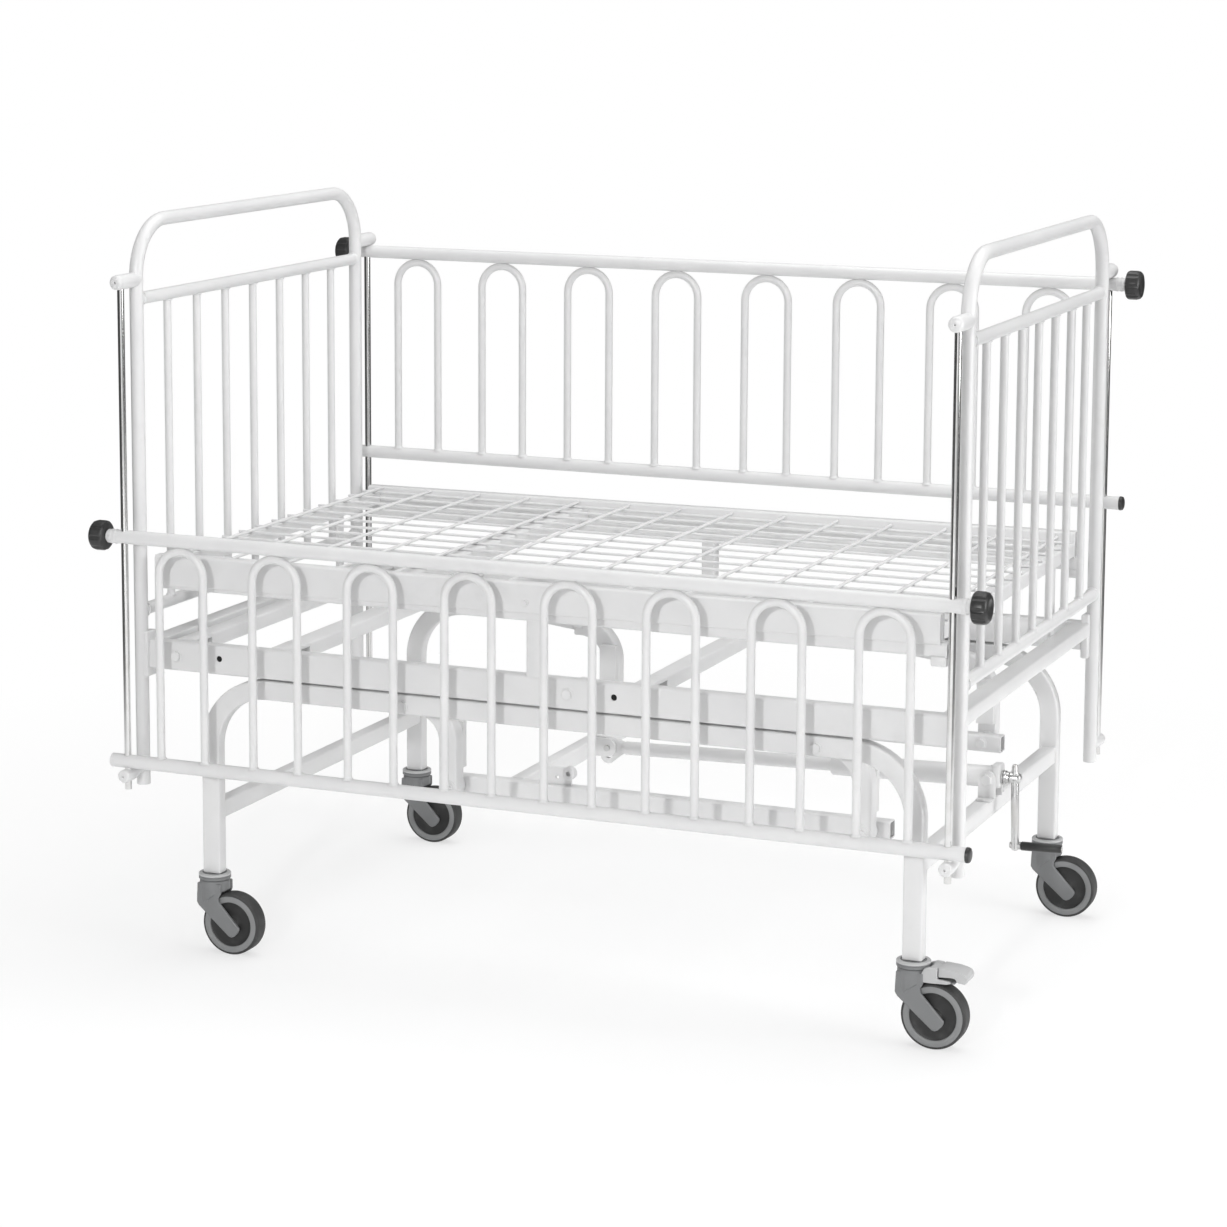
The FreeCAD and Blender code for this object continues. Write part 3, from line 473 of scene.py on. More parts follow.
def traced(points):
    """A chain of edges through the points, all of it selected in edit mode."""
    piece = add("plane", size=MM, location=points[0])
    bpy.ops.object.mode_set(mode="EDIT")
    bpy.ops.mesh.select_mode(type="VERT")
    bpy.ops.mesh.select_all(action="SELECT")
    bpy.ops.mesh.merge(type="CENTER")
    for start, end in zip(points, points[1:]):
        bpy.ops.mesh.extrude_region_move(TRANSFORM_OT_translate={"value": end - start})
    bpy.ops.mesh.select_all(action="SELECT")
    return piece


def turned(origin, axis, outline, sides=40):
    """Spin an outline of (distance along the axis, radius) about the axis through the origin."""
    along, out = AXES[axis], OUTWARD[axis]
    piece = traced([mm(*origin) + (along * place + out * radius) * MM for place, radius in outline])
    bpy.ops.mesh.spin(steps=sides, angle=2 * math.pi, center=mm(*origin), axis=along)
    tidy()
    return piece


def closed(outline):
    """An outline that ends where it starts, for a ring."""
    return outline + outline[:1]


def symmetric(half):
    """An outline whose second half mirrors the first."""
    return half + [(-place, radius) for place, radius in reversed(half)]


def plate(outline, low_y, high_y, edge=0.6):
    """A flat outline of (x, z) points, filled and thickened along Y."""
    piece = traced([mm(x, low_y, z) for x, z in outline])
    bpy.ops.mesh.edge_face_add()
    extrude(0, high_y - low_y, 0)
    tidy()
    return soften(piece, edge)


print("lathe and plate cutter ready")

# %% [markdown]
# **Rectangular tube.**  Rolled steel tube has no sharp corners: its long edges are rounded to about
# the wall thickness, and its ends are open.  A cube gets its long edges bevelled, and its end faces
# are inset by the wall and pushed in.  A bent tube is the same cube with one end extruded along the
# straight runs and spun round the bends, which keeps the section true where a bent curve would
# pinch it.

# %% Straight and bent tube
CORNER, WALL = 3, 2


def square_tube(low, high, axis, corner=CORNER, depth=60):
    """An open tube along an axis; its ends are hollow to the given depth."""
    index = "XYZ".index(axis)
    tube = round_corners(block(low, high), corner, lambda centre, along: abs(along[index]) > 0.9, 3)
    for side in (-1, 1):
        pick(tube, lambda centre, normal: normal[index] * side > 0.9)
        bpy.ops.mesh.inset(thickness=WALL * MM)
        extrude(*(AXES[axis] * -side * depth))
    return soften(tube, 0.4, 1)


def bent_tube(low, high, steps):
    """A block whose upper face follows runs (x, y, z) and turns (x, z, degrees)."""
    tube = block(low, high)
    pick(tube, lambda centre, normal: normal.z > 0.9)
    for kind, *numbers in steps:
        if kind == "run":
            extrude(*numbers)
        else:
            x, z, angle = numbers
            bpy.ops.mesh.spin(steps=16, angle=math.radians(-angle), center=mm(x, 0, z),
                              axis=(0, 1, 0))
    tidy()
    return soften(tube, CORNER, 3)


print("tube tools ready")

# %% [markdown]
# **Bolts.**  Every pivot is a bolt with a washer.  The head is a six-sided cylinder with its rim
# taken off, the washer a turned ring.  Both are light meshes, so there can be many of them.

# %% Bolt heads
HEX_RADIUS = 0.577          # from the middle of a hexagon to its corners, for 1 across its flats
WASHER_DEPTH = 1.2


def bolt(place, side, across, height, washer):
    """A hexagon head on a washer, standing out from `place` along Y towards `side`."""
    along = AXES["Y"] * side
    base = Vector(place) + along * WASHER_DEPTH
    head = rod(across * HEX_RADIUS, base, base + along * (height - WASHER_DEPTH), 6)
    pick(head, lambda centre, normal: normal.dot(along) > 0.9)
    bpy.ops.mesh.inset(thickness=0.7 * MM)
    extrude(*(along * 0.5))
    soften(head, 0.3, 1)
    ring = turned(place, "Y", [(0, 0), (0, washer), (side, washer), (1.4 * side, washer - 0.8),
                               (1.4 * side, 0)], 28)
    return joined([head, ring])


print("bolts ready")

# %% [markdown]
# **Undercarriage.**  Each side is one length of tube bent twice into an arch, with a castor under
# each leg; two crossbars join the arches.  The near arch is bent from a leg upward, as a workshop
# would bend it, and mirrored to the far side.

# %% Arches and lower crossbars
ARCH_OUT, ARCH_IN = 383.5, 360.5            # outer and inner face of an arch
LEG_FOOT, BEND_Z, BEND_HEAD, BEND_FOOT = 130, 340, -460, 517.5
CROSSBAR_WIDE, CROSSBAR_HIGH = 25, 28
arch = bent_tube((-575, -ARCH_OUT, LEG_FOOT), (-544, -ARCH_IN, BEND_Z), [
    ("turn", BEND_HEAD, BEND_Z, 90), ("run", BEND_FOOT - BEND_HEAD, 0, 0),
    ("turn", BEND_FOOT, BEND_Z, 90), ("run", 0, 0, LEG_FOOT - BEND_Z)])
dress(copy_of(arch, FLIP_Y), "arch_tube_far", "undercarriage", "arch_far")
dress(arch, "arch_tube_near", "undercarriage", "arch_near")
crossbars = [square_tube((x, -ARCH_IN, z), (x + CROSSBAR_WIDE, ARCH_IN, z + CROSSBAR_HIGH), "Y")
             for x, z in ((-572, 218), (604.5, 261))]
dress(joined(crossbars), "lower_crossbar_tubes", "undercarriage", "lower_crossbars")

# %% [markdown]
# ** Main rails.** Two deep tubes run the length of the bed frame. Two holes in each take
# accessories.  A drilled hole in a bright tube can look like a dot of paint, so a near-black disc
# just inside each hole is painted shade: it stands for the dark inside a deep hole.

# %% Main rails
RAIL_OUT, RAIL_IN = 384.5, 359.5            # outer and inner face of a main rail
RAIL_LOW, RAIL_TOP = 458, 505
HOLES_X, HOLE_Z = (-540, 140), 484
rail = square_tube((-668, -RAIL_OUT, RAIL_LOW), (668, -RAIL_IN, RAIL_TOP), "X", corner=4)
for x in HOLES_X:
    drill(rail, 5, (x, -400, HOLE_Z), (x, -370, HOLE_Z))
dress(both_sides(rail), "main_rail_tubes", "bed_frame", "main_rails")
# Each disc is painted shade, standing for the dark inside a deep hole; it is not a real lining.
HOLE_SHADE_OUTLINE = [(-383.6, 0), (-382.9, 5.2), (-378, 5.2), (-378, 0)]
hole_shade_discs = joined([turned((x, 0, HOLE_Z), "Y", HOLE_SHADE_OUTLINE, 24) for x in HOLES_X])
dress(both_sides(hole_shade_discs), "accessory_hole_painted_shade", "bed_frame", finish=hole_shade_black)

# %% [markdown]
# **Cross members.**  End rails and three flat tubes tie the main rails together.  The three are
# flattened at their ends and lie on the rails; here a thin softened plate laps over each joint.
# Two short posts in the middle carry the platform.

# %% Cross members and supports
members = [both_sides(square_tube((651, -RAIL_IN, 482), (683, RAIL_IN, RAIL_TOP), "Y"), FLIP_X)]
for low_x, high_x in ((-632, -598), (-460, -420), (164, 195)):
    members.append(square_tube((low_x, -303, 481), (high_x, 303, RAIL_TOP), "Y", depth=1))
    lap = soften(block((low_x, -RAIL_IN, 499), (high_x, -302, RAIL_TOP)), 1.5)
    members.append(both_sides(lap))
dress(joined(members), "cross_member_tubes", "bed_frame", "frame_cross_members")
support = square_tube((-6, -RAIL_OUT, 503), (18, -RAIL_IN, 592), "Z")
dress(both_sides(support), "support_tubes", "bed_frame", "support_posts")

# %% [markdown]
# **Platform frame.**  Deep aprons along the sides and tubes at the ends and in the middle frame
# the wire mesh.  The aprons' foot ends bend up a little.  Lifting a few picked edges does that
# without bending the rest.

# %% Platform frame
APRON_OUT, APRON_IN = 389, 366
BAR_LOW, BAR_TOP = 613, 636.8
FOOT_END_FROM = 590
apron = square_tube((-653, -APRON_OUT, 594), (653, -APRON_IN, 645), "X", corner=4, depth=2)
for low_z, high_z, lift in ((630, 650, 9), (590, 610, 15)):
    pick(apron, lambda centre, along: centre.x > FOOT_END_FROM and low_z < centre.z < high_z,
         "EDGE")
    bpy.ops.transform.translate(value=mm(0, 0, lift))
lower_tube = square_tube((-650, -386, 590), (663, -365, 612), "X", corner=5)
end_foot = soften(block((638, -388, 577), (663, -APRON_IN, 592)), 3)
side = joined([apron, lower_tube, end_foot, bolt((-6, -APRON_OUT, 619), -1, 9, 4, 6.5)])
end_bar = square_tube((628, -APRON_IN, BAR_LOW), (652.5, APRON_IN, BAR_TOP), "Y")
middle_bar = square_tube((-253, -APRON_IN, BAR_LOW), (-221, APRON_IN, BAR_TOP), "Y")
platform = joined([both_sides(side), both_sides(end_bar, FLIP_X), middle_bar])
dress(platform, "platform_tubes", "bed_frame", "platform_frame")

# %% [markdown]
# **Corner brackets.**  A plate at each corner joins main rail, end rail and post, and a small stay
# carries the platform's end.  One corner is made, and two mirrors give the other three.

# %% Brackets and stays
bracket = soften(block((-681, -388.5, 444), (-668, -RAIL_IN, 518)), 3, 3)
stay = soften(block((-651, -256, 482), (-645, -234, BAR_LOW)), 1.5)
brackets = both_sides(both_sides(joined([bracket, stay])), FLIP_X)
dress(brackets, "bracket_plates", "bed_frame", "frame_brackets")

# %% [markdown]
# **Lifting levers.**  A straight lift arm reaches to the bed frame; past the pivot the tube bends
# down into the tie arm, and a gusset stiffens the bend.  Round hubs carry the pivots.  One lever is
# modelled and copied to the foot end and the far side, because all four have to move alike.

# %% Levers
LEVERS = {"head": -218, "foot": 463}
LEVER_Y, PIVOT_Z = 330, 437
TO_FRAME, TO_TIE = (-400, 45), (60, -135)   # from the arch pivot to the other two, as (x, z)
ARM_LENGTH, ARM_WIDE, ARM_HIGH = 402.5, 28, 24


def hub(place, radius, outer, inner):
    """A short round hub along Y with softened rims."""
    return turned((head_x + place[0], 0, PIVOT_Z + place[1]), "Y", [
        (-outer, 0), (-outer, radius - 1.5), (1.5 - outer, radius), (-inner - 1, radius),
        (-inner, radius - 1), (-inner, 0)])


head_x = LEVERS["head"]
lift_arm = add("cube", size=1, scale=mm(ARM_LENGTH, ARM_WIDE, ARM_HIGH),
               location=mm(head_x + TO_FRAME[0] / 2, -LEVER_Y, PIVOT_Z + TO_FRAME[1] / 2),
               rotation=(0, math.atan2(TO_FRAME[1], -TO_FRAME[0]), 0))
pick(lift_arm, lambda centre, normal: abs(normal.x) > 0.9)
bpy.ops.mesh.inset(thickness=WALL * MM)
bpy.ops.mesh.extrude_region_shrink_fatten(TRANSFORM_OT_shrink_fatten={"value": -6 * MM})
soften(lift_arm, CORNER, 3)
tie_arm = bent_tube((head_x + 44.5, -343.8, 300), (head_x + 75.5, -316.2, 375),
                    [("turn", head_x + 3, 375, -90), ("run", -12, 0, 0)])
gusset = soften(block((head_x + 45, -317, 331), (head_x + 74.5, -304, 405)), 0.8)
lever = joined([lift_arm, tie_arm, gusset, hub((0, 0), 14, 359.5, 316),
                hub(TO_FRAME, 14, 358.5, 316), hub(TO_TIE, 15.5, 344.7, 311)])
for end, lever_x in LEVERS.items():
    along = Matrix.Translation(mm(lever_x - head_x, 0, 0))
    for side, place in (("near", along), ("far", FLIP_Y @ along)):
        node = f"lever_{end}_{side}"
        dress(copy_of(lever, place), f"{node}_tube", node, node)
discard(lever)

# %% [markdown]
# **Pivot bolts.**  Each pivot has a bolt with its washer and, on the inner end, a nut.  They belong
# to the part that holds them still: the arches, the bed frame or the tie bars.

# %% Pivot bolts
ACROSS, HEAD_HEIGHT, WASHER, SHANK = 15, 5, 10.3, 5.9


def pivot_set(places, outer, inner):
    """Bolts along Y through both sides, with heads outside and nuts inside."""
    parts = []
    for x, z in places:
        parts.append(bolt((x, -outer, z), -1, ACROSS, HEAD_HEIGHT, WASHER))
        parts.append(bolt((x, -inner, z), 1, ACROSS, HEAD_HEIGHT, WASHER))
        parts.append(turned((x, 0, z), "Y", [(-outer, 0), (-outer, SHANK), (-inner, SHANK),
                                             (-inner, 0)], 24))
    return both_sides(joined(parts))


for kind, shift, outer, inner, body in (("arch", (0, 0), ARCH_OUT, 315, "undercarriage"),
                                        ("frame", TO_FRAME, RAIL_OUT, 315, "bed_frame"),
                                        ("tie", TO_TIE, 345, 285, "tie_frame")):
    pivots = [(x + shift[0], PIVOT_Z + shift[1]) for x in LEVERS.values()]
    dress(pivot_set(pivots, outer, inner), f"{kind}_bolts", body, f"{kind}_pivot_pins")

# %% [markdown]
# **Tie frame.**  Two tie bars keep the levers in step.  A cross tube joins them, and the crank drive
# pulls on the two lugs in its middle.  The near bar also carries a small plate with a turned eye.

# %% Tie bars and cross tube
TIE_OUT, TIE_IN = 310, 285
TIE_LOW, TIE_TOP = 288, 316
ties = both_sides(square_tube((-180, -TIE_OUT, TIE_LOW), (557, -TIE_IN, TIE_TOP), "X"))
dress(ties, "tie_bar_tubes", "tie_frame", "tie_bars")
eye_plate = plate([(-12, 314), (-12, 340), (-8, 344), (34, 344), (34, 314)], -300, -296)
drill(eye_plate, 3, (10, -320, 328), (10, -280, 328))
eye = turned((31, 0, 336), "Y", closed([(-306, 4), (-306, 9.5), (-305, 10.5), (-294, 10.5),
                                        (-293, 9.5), (-293, 4)]), 32)
dress(joined([eye_plate, eye]), "tie_bar_bracket", "tie_frame", "tie_bars")
lug = round_corners(block((-54, -9, 291), (-12, -4, 321)), 14.8,
                    lambda centre, along: abs(along.y) > 0.9 and centre.x > -20)
cross_tube = joined([square_tube((-77, -TIE_IN, TIE_LOW), (-53, TIE_IN, TIE_TOP), "Y"),
                     both_sides(soften(lug, 0.6))])
dress(cross_tube, "tie_cross_member", "tie_frame", "tie_cross_tube")

# %% [markdown]
# **Crank drive.**  The screw turns in a fixed housing and pulls the drive tube, whose flat eye
# holds the bolt of the tie frame.  The line rises a little towards the crank.  Building on a
# slope is awkward, so every part is built level, with x counted along the screw, and then laid on
# that line.

# %% Housing and drive tube
DRIVE = Matrix.Translation(mm(-27, 0, 306)) @ Matrix.Rotation(-math.atan2(17, 689), 4, "Y")


def on_drive_line(piece):
    piece.data.transform(DRIVE)
    return piece


bearing = round_corners(block((656, -16, -14), (668, 16, 22)), 9,
                        lambda centre, along: abs(along.x) > 0.9 and centre.z > 20)
sleeve = turned((0, 0, 0), "X", closed([(388, 11.4), (388, 15), (389, 16.4), (390, 17), (655, 17),
                                        (655, 11.4)]))
housing = on_drive_line(joined([soften(bearing, 0.8), sleeve]))
dress(housing, "housing_tube", "undercarriage", "screw_housing")

EYE = [(-15, -14), (-13, -21), (-8, -26), (-2, -27.5), (5, -26), (11, -21), (24, -11), (30, -9),
       (30, 9), (22, 12), (6, 15), (-6, 14), (-13, 9), (-15, 2)]
SLOT_STEPS = (0, -3, -6, -9, -12.5)         # holes one below the other make the slot
flat_eye = plate(EYE, -3.5, 3.5, 0.8)
for drop in SLOT_STEPS:
    drill(flat_eye, 6.4, (0, -20, drop), (0, 20, drop), 32)
barrel = turned((0, 0, 0), "X", [(24, 0), (24, 6), (27, 9.5), (31, 11), (603, 11), (603, 0)], 48)
dress(on_drive_line(joined([flat_eye, barrel])), "drive_tube_and_eye", "drive", "drive_tube")

# %% [markdown]
# **Screw and crank.**  The crank arm has a cross boss, a rounded stub above it and a black grip
# below.  The three crossing rounds are turned apart and joined, as the real ones are pressed
# together.

# %% Screw, crank arm and grip
CRANK, GRIP_DROP = 689, -108                # the arm's place on the screw, the grip's below it
screw = turned((0, 0, 0), "X", [(403, 0), (403, 6), (404, 7), (668.3, 7), (668.3, 11), (669, 11.6),
                                (671, 11.6), (671.4, 9), (672.2, 9), (672.6, 11), (675, 11),
                                (676, 9.5), (680.5, 9), (680.5, 0)])
dress(on_drive_line(screw), "screw_and_collar", "crank", "lift_screw", zinc)

cross_boss = turned((CRANK, 0, 0), "X", [(-8.5, 0), (-8.5, 7), (-7, 8.5), (5, 8.5), (8.5, 7),
                                         (10.2, 4.5), (10.8, 0)])
arm = turned((CRANK, 0, 0), "Z", [(-115.5, 0), (-115.5, 4), (-114, 6), (-112, 6.5), (3, 6.5),
                                  (8, 5), (18, 4.9), (21, 3.8), (22, 2), (22.2, 0)])
spindle = turned((CRANK, 0, GRIP_DROP), "X", [(-9, 0), (-9, 4), (-8, 5.2), (-7, 5.2), (-6.5, 4.6),
                                              (6.8, 4.6), (7, 6.2), (9.2, 6.2), (9.4, 3.9),
                                              (76, 3.9), (76, 0)])
crank = on_drive_line(joined([cross_boss, arm, spindle]))
dress(crank, "crank_arm_chromed", "crank", "crank_arm", satin_chrome)
grip = turned((0, 0, GRIP_DROP), "X", [(699, 0), (699, 6.3), (700, 7), (750, 7), (762, 6.5),
                                       (764, 5), (764, 0)])
dress(on_drive_line(grip), "crank_grip_moulded", "grip", "crank_grip", black_plastic)

# %% [markdown]
# **Clevis.**  Two rounded ears on the foot crossbar hold the bearing block between their bolts, so
# that the screw can tilt.  An ear is a block with two corners rounded by a wide bevel.

# %% Clevis
ear = round_corners(block((608, -22, 289), (636, -17, 336)), 13.8,
                    lambda centre, along: abs(along.y) > 0.9 and centre.z > 330)
base = soften(block((608, -35, 289), (636, -19, 292.5)), 1.2)
clevis = both_sides(joined([soften(ear, 0.8), base, bolt((622, -22, 322), -1, 17, 7, 10.5)]))
dress(clevis, "clevis_plates", "undercarriage", "crank_clevis")

# %% [markdown]
# **Knobs and caps.**  Each side rail has two release knobs with eight finger scallops and a white
# sleeve behind each.  Its bottom tube has a black cap at the foot end and a white plug at the head
# end.  The scallops are drilled along the rim of a turned knob, and a bevel softens their ridges.

# %% Knobs and caps
RAILS = {"near": (-429, 313.4), "far": (429, 697.5)}        # y, and height of the bottom tube
RAIL_RISE = 364.7
SCALLOPS, SCALLOP_OUT, SCALLOP_RADIUS = 8, 29, 7
knob = turned((0, 0, 0), "X", [(689.3, 0), (689.3, 3.9), (713.9, 3.9), (714, 18), (714.8, 21.5),
                               (717, 23.6), (720, 24), (731, 24), (735.5, 22.8), (738.2, 20),
                               (739, 17), (739, 12), (738, 10.5), (737.8, 0)], 96)
for index in range(SCALLOPS):
    angle = 2 * math.pi * index / SCALLOPS
    y, z = SCALLOP_OUT * math.cos(angle), SCALLOP_OUT * math.sin(angle)
    drill(knob, SCALLOP_RADIUS, (708, y, z), (750, y, z), 32)
soften(knob, 0.9, 3)
cap = turned((0, 0, 0), "X", [(700, 0), (700, 9), (711, 9), (711.1, 11.6), (714, 11.7),
                              (716.5, 10.8), (717.7, 8.5), (718, 4), (718, 0)])
plug = turned((0, 0, 0), "X", [(700, 0), (700, 9.3), (711.1, 9.3), (711.1, 10.6), (711.9, 9.8),
                               (712.3, 6), (712.4, 0)])
sleeve = turned((0, 0, 0), "X", closed([
    (696, 10.5), (696, 11.5), (697.5, 11.9), (699, 11.5), (699.3, 11.1), (703, 11.1), (703.3, 11.6),
    (704.6, 11.9), (706, 11.5), (706.2, 11.05), (711.2, 11), (711.4, 9.4), (713.2, 9.2),
    (713.4, 4.2), (696, 4.2)]))
for side, (rail_y, low_z) in RAILS.items():
    body = f"rail_{side}"
    high = Matrix.Translation(mm(0, rail_y, low_z + RAIL_RISE))
    low = Matrix.Translation(mm(0, rail_y, low_z))
    for end, place in (("foot", high), ("head", high @ FLIP_X)):
        dress(copy_of(knob, place), f"knob_{side}_{end}_moulded", f"knob_{side}_{end}",
              f"rail_{side}_knob_{end}", black_plastic)
    dress(copy_of(cap, low), f"cap_{side}", body, f"rail_{side}_plugs", black_plastic)
    whites = [copy_of(plug, low @ FLIP_X), copy_of(sleeve, high), copy_of(sleeve, high @ FLIP_X)]
    dress(joined(whites), f"end_plugs_{side}", body, f"rail_{side}_plugs")
discard(knob, cap, plug, sleeve)

# %% [markdown]
# **Guide rod lugs.**  A short stub on each post holds the rod; it is full round at the rod and
# tapers towards the post, with a small set screw in its end.  The lower stub is flattened where it
# meets the post, by scaling its end face.

# %% Lugs
POST_X = 683.5
UPPER_LUG, LOWER_LUG = 1084, 291
upper = turned((-POST_X, 0, UPPER_LUG), "Y", [(-446, 0), (-446, 7), (-445, 9.5), (-442.5, 11.4),
                                              (-439, 12), (-392, 12), (-380, 11), (-380, 0)], 32)
lower = turned((-POST_X, 0, LOWER_LUG), "Y", [(-445, 0), (-445, 8.5), (-443, 10.5), (-418, 10.5),
                                              (-380, 10.5), (-380, 0)], 32)
pick(lower, lambda centre, normal: centre.y > -381)
bpy.ops.transform.resize(value=(0.8, 1, 0.4), center_override=mm(-POST_X, -380, 298))
stubs = []
for stub, height in ((upper, UPPER_LUG), (lower, LOWER_LUG)):
    drill(stub, 1.8, (-POST_X, -450, height), (-POST_X, -442, height))
    stubs.append(soften(stub, 0.4, 1))
dress(both_sides(both_sides(joined(stubs)), FLIP_X), "rod_lug_stubs", "bed_frame", "rod_lugs")

# %% [markdown]
# **Castor forks.**  The fork is one soft-edged nylon moulding.  Joining crown and arms by booleans
# would leave hard seams, so they are remeshed into one skin and smoothed, which rounds every inner
# corner as a mould does.  The axle trails behind the swivel, so the wheel follows.

# %% Castor forks
AXLE = (35, 0, 50)
ARM = [(-21, 116), (-22.5, 84), (-19, 78), (35.5, 31.5), (40, 30.5), (45, 32.5), (51, 38.5),
       (54, 44), (53.5, 47.5), (18, 86), (16.5, 92), (21, 100), (21, 116)]


def fork(braked):
    """A swivel fork round the origin; a braked one has a shelf for the pedal."""
    crown = turned((0, 0, 0), "Z", [(120.4, 0), (120.4, 22.5), (118.5, 24.3), (92, 24.5), (84, 23),
                                    (84, 0)], 64)
    drill(crown, 54, (AXLE[0], -60, AXLE[2]), (AXLE[0], 60, AXLE[2]), 96)
    arms = both_sides(plate(ARM, -21.3, -16.2, 1.2))
    parts = [crown, arms, turned(AXLE, "Y", symmetric([(-20.8, 0), (-20.8, 5)]))]
    if braked:
        parts.append(block((4, -14.3, 103), (68, 14.3, 107)))
    skin = modify(joined(parts), "REMESH", mode="VOXEL", voxel_size=0.9 * MM)
    return modify(skin, "SMOOTH", factor=0.5, iterations=4)


plain_fork, braked_fork = fork(False), fork(True)
print("forks:", len(plain_fork.data.polygons), "and", len(braked_fork.data.polygons), "faces")

# %% [markdown]
# **Wheels and collars.**  The wheel is a rubber tyre on a grey ring with a darker, recessed disc;
# the collar is pressed onto the leg above the fork.  All are turned once and copied to the four
# corners.

# %% Wheels and collars
CASTORS = {"head_near": (-559.5, -372), "head_far": (-559.5, 372), "foot_near": (617, -372),
           "foot_far": (617, 372)}
TYRE = closed(symmetric([(-12, 45), (-14.5, 46), (-14.5, 47.5), (-13.6, 49), (-11.5, 49.9),
                         (-6, 50)]))
RING = closed(symmetric([(-14.3, 45.9), (-14.6, 45), (-14.6, 38), (-14, 36.6), (-12, 36)]))
DISC = symmetric([(-15.6, 0), (-15.6, 11), (-14.6, 12.5), (-12.2, 14), (-11.6, 16), (-11.2, 30),
                  (-12, 35.3), (-12.5, 36.1)])
COLLAR = [(130, 0), (130, 23.5), (129.4, 25.4), (128, 25.9), (125.6, 25.9), (125.2, 25.2),
          (124.8, 25.9), (121.8, 25.9), (121, 25), (121, 0)]
RIM = closed([(127.2, 25), (127.2, 26), (129.3, 26), (130.3, 25.2), (130.6, 20), (129, 20)])
tyre, ring, disc = (turned(AXLE, "Y", outline, 96) for outline in (TYRE, RING, DISC))
collar, rim = (turned((0, 0, 0), "Z", outline, 64) for outline in (COLLAR, RIM))
for corner, (x, y) in CASTORS.items():
    model = braked_fork if corner == "foot_near" else plain_fork
    for part, name, body, node, finish, slot in (
            (model, f"fork_{corner}_moulded", f"fork_{corner}", f"castor_fork_{corner}",
             grey_nylon, "grey_plastic"),
            (tyre, f"tyre_{corner}", f"wheel_{corner}", f"castor_tyre_{corner}",
             tyre_rubber, "tyre"),
            (ring, f"wheel_ring_{corner}", f"wheel_{corner}", f"castor_wheel_{corner}",
             wheel_grey, "wheel_centre"),
            (disc, f"wheel_disc_{corner}", f"wheel_{corner}", f"castor_wheel_{corner}",
             wheel_black, "wheel_centre"),
            (collar, f"collar_{corner}", "undercarriage", "castor_heads",
             grey_nylon, "grey_plastic"),
            (rim, f"collar_rim_{corner}", "undercarriage", "castor_heads",
             pedal_nylon, "grey_plastic")):
        dress(copy_of(part, Matrix.Translation(mm(x, y, 0))), name, body, node, finish)
discard(tyre, ring, disc, collar, rim, plain_fork, braked_fork)

# %% [markdown]
# **Brake pedal.**  A flat paddle over the braked wheel: the outline is cut as a plate, then rounded.
# Its pale cheeks belong to the fork; a narrow tongue of the paddle turns between them.

# %% Brake pedal
TONGUE = [(28, 110), (38, 110), (46, 112), (46, 126), (30, 126)]
PADDLE = [(44, 113), (62, 114), (69, 113.5), (73, 108), (84, 106.5), (87, 109), (88, 115),
          (85, 120.5), (78, 123.5), (66, 126), (50, 127), (44, 127)]
CHEEK = [(14, 103), (30, 102.5), (57, 103.5), (63, 105.5), (61.5, 108.6), (42.6, 110.2),
         (42.6, 126.6), (32, 127.4), (22, 124), (17, 114)]


def at_braked_wheel(outline, low_y, high_y):
    """A plate cut from an outline about the swivel of the braked castor."""
    swivel_x, swivel_y = CASTORS["foot_near"]
    return plate([(swivel_x + x, z) for x, z in outline], swivel_y + low_y, swivel_y + high_y, 1.2)


pedal = joined([at_braked_wheel(TONGUE, -13.9, 13.9), at_braked_wheel(PADDLE, -19.5, 19.5)])
dress(pedal, "pedal_moulded", "pedal", "brake_pedal", pedal_nylon)
cheeks = joined([at_braked_wheel(CHEEK, -20.3, -14.4), at_braked_wheel(CHEEK, 14.4, 20.3)])
dress(cheeks, "pedal_cheeks", "fork_foot_near", "castor_fork_foot_near", pedal_nylon)

# %% [markdown]
# **Welds.**  Every joint of the white tubes has a small bead.  A bump texture could hint at it, but
# a bead also breaks the outline.  One low, slightly uneven ring is modelled and copied to each
# joint.

# %% Weld beads
LOOPS, LOOP_PITCH, LOOP_HALF = 8, 166.4, 39.55
BARS, BAR_PITCH = 7, 95
CROSSBARS_Z, CROSSBAR_RADIUS = (551, 1053), 8.5
CROSSBAR_END = 370.6
UP, DOWN = Matrix.Identity(4), Matrix.Rotation(math.pi, 4, "X")
TO_FAR, TO_NEAR = (Matrix.Rotation(turn * math.pi / 2, 4, "X") for turn in (-1, 1))


def bead(radius):
    """A weld ring round a tube of this radius at the origin, rising along +Z."""
    ring = turned((0, 0, 0), "Z", closed([(0, radius - 0.5), (0, radius + 2.6), (1.6, radius + 1.7),
                                          (3.6, radius + 0.2), (3.6, radius - 0.5)]), 16)
    only(ring)
    bpy.ops.object.mode_set(mode="EDIT")
    bpy.ops.mesh.select_all(action="SELECT")
    bpy.ops.transform.vertex_random(offset=0.35 * MM, seed=3)
    bpy.ops.object.mode_set(mode="OBJECT")
    return ring


def beads(radius, places, name, body):
    """One bead for each (place, turn)."""
    model = bead(radius)
    rings = [copy_of(model, Matrix.Translation(mm(*place)) @ turn) for place, turn in places]
    discard(model)
    dress(joined(rings), name, body)


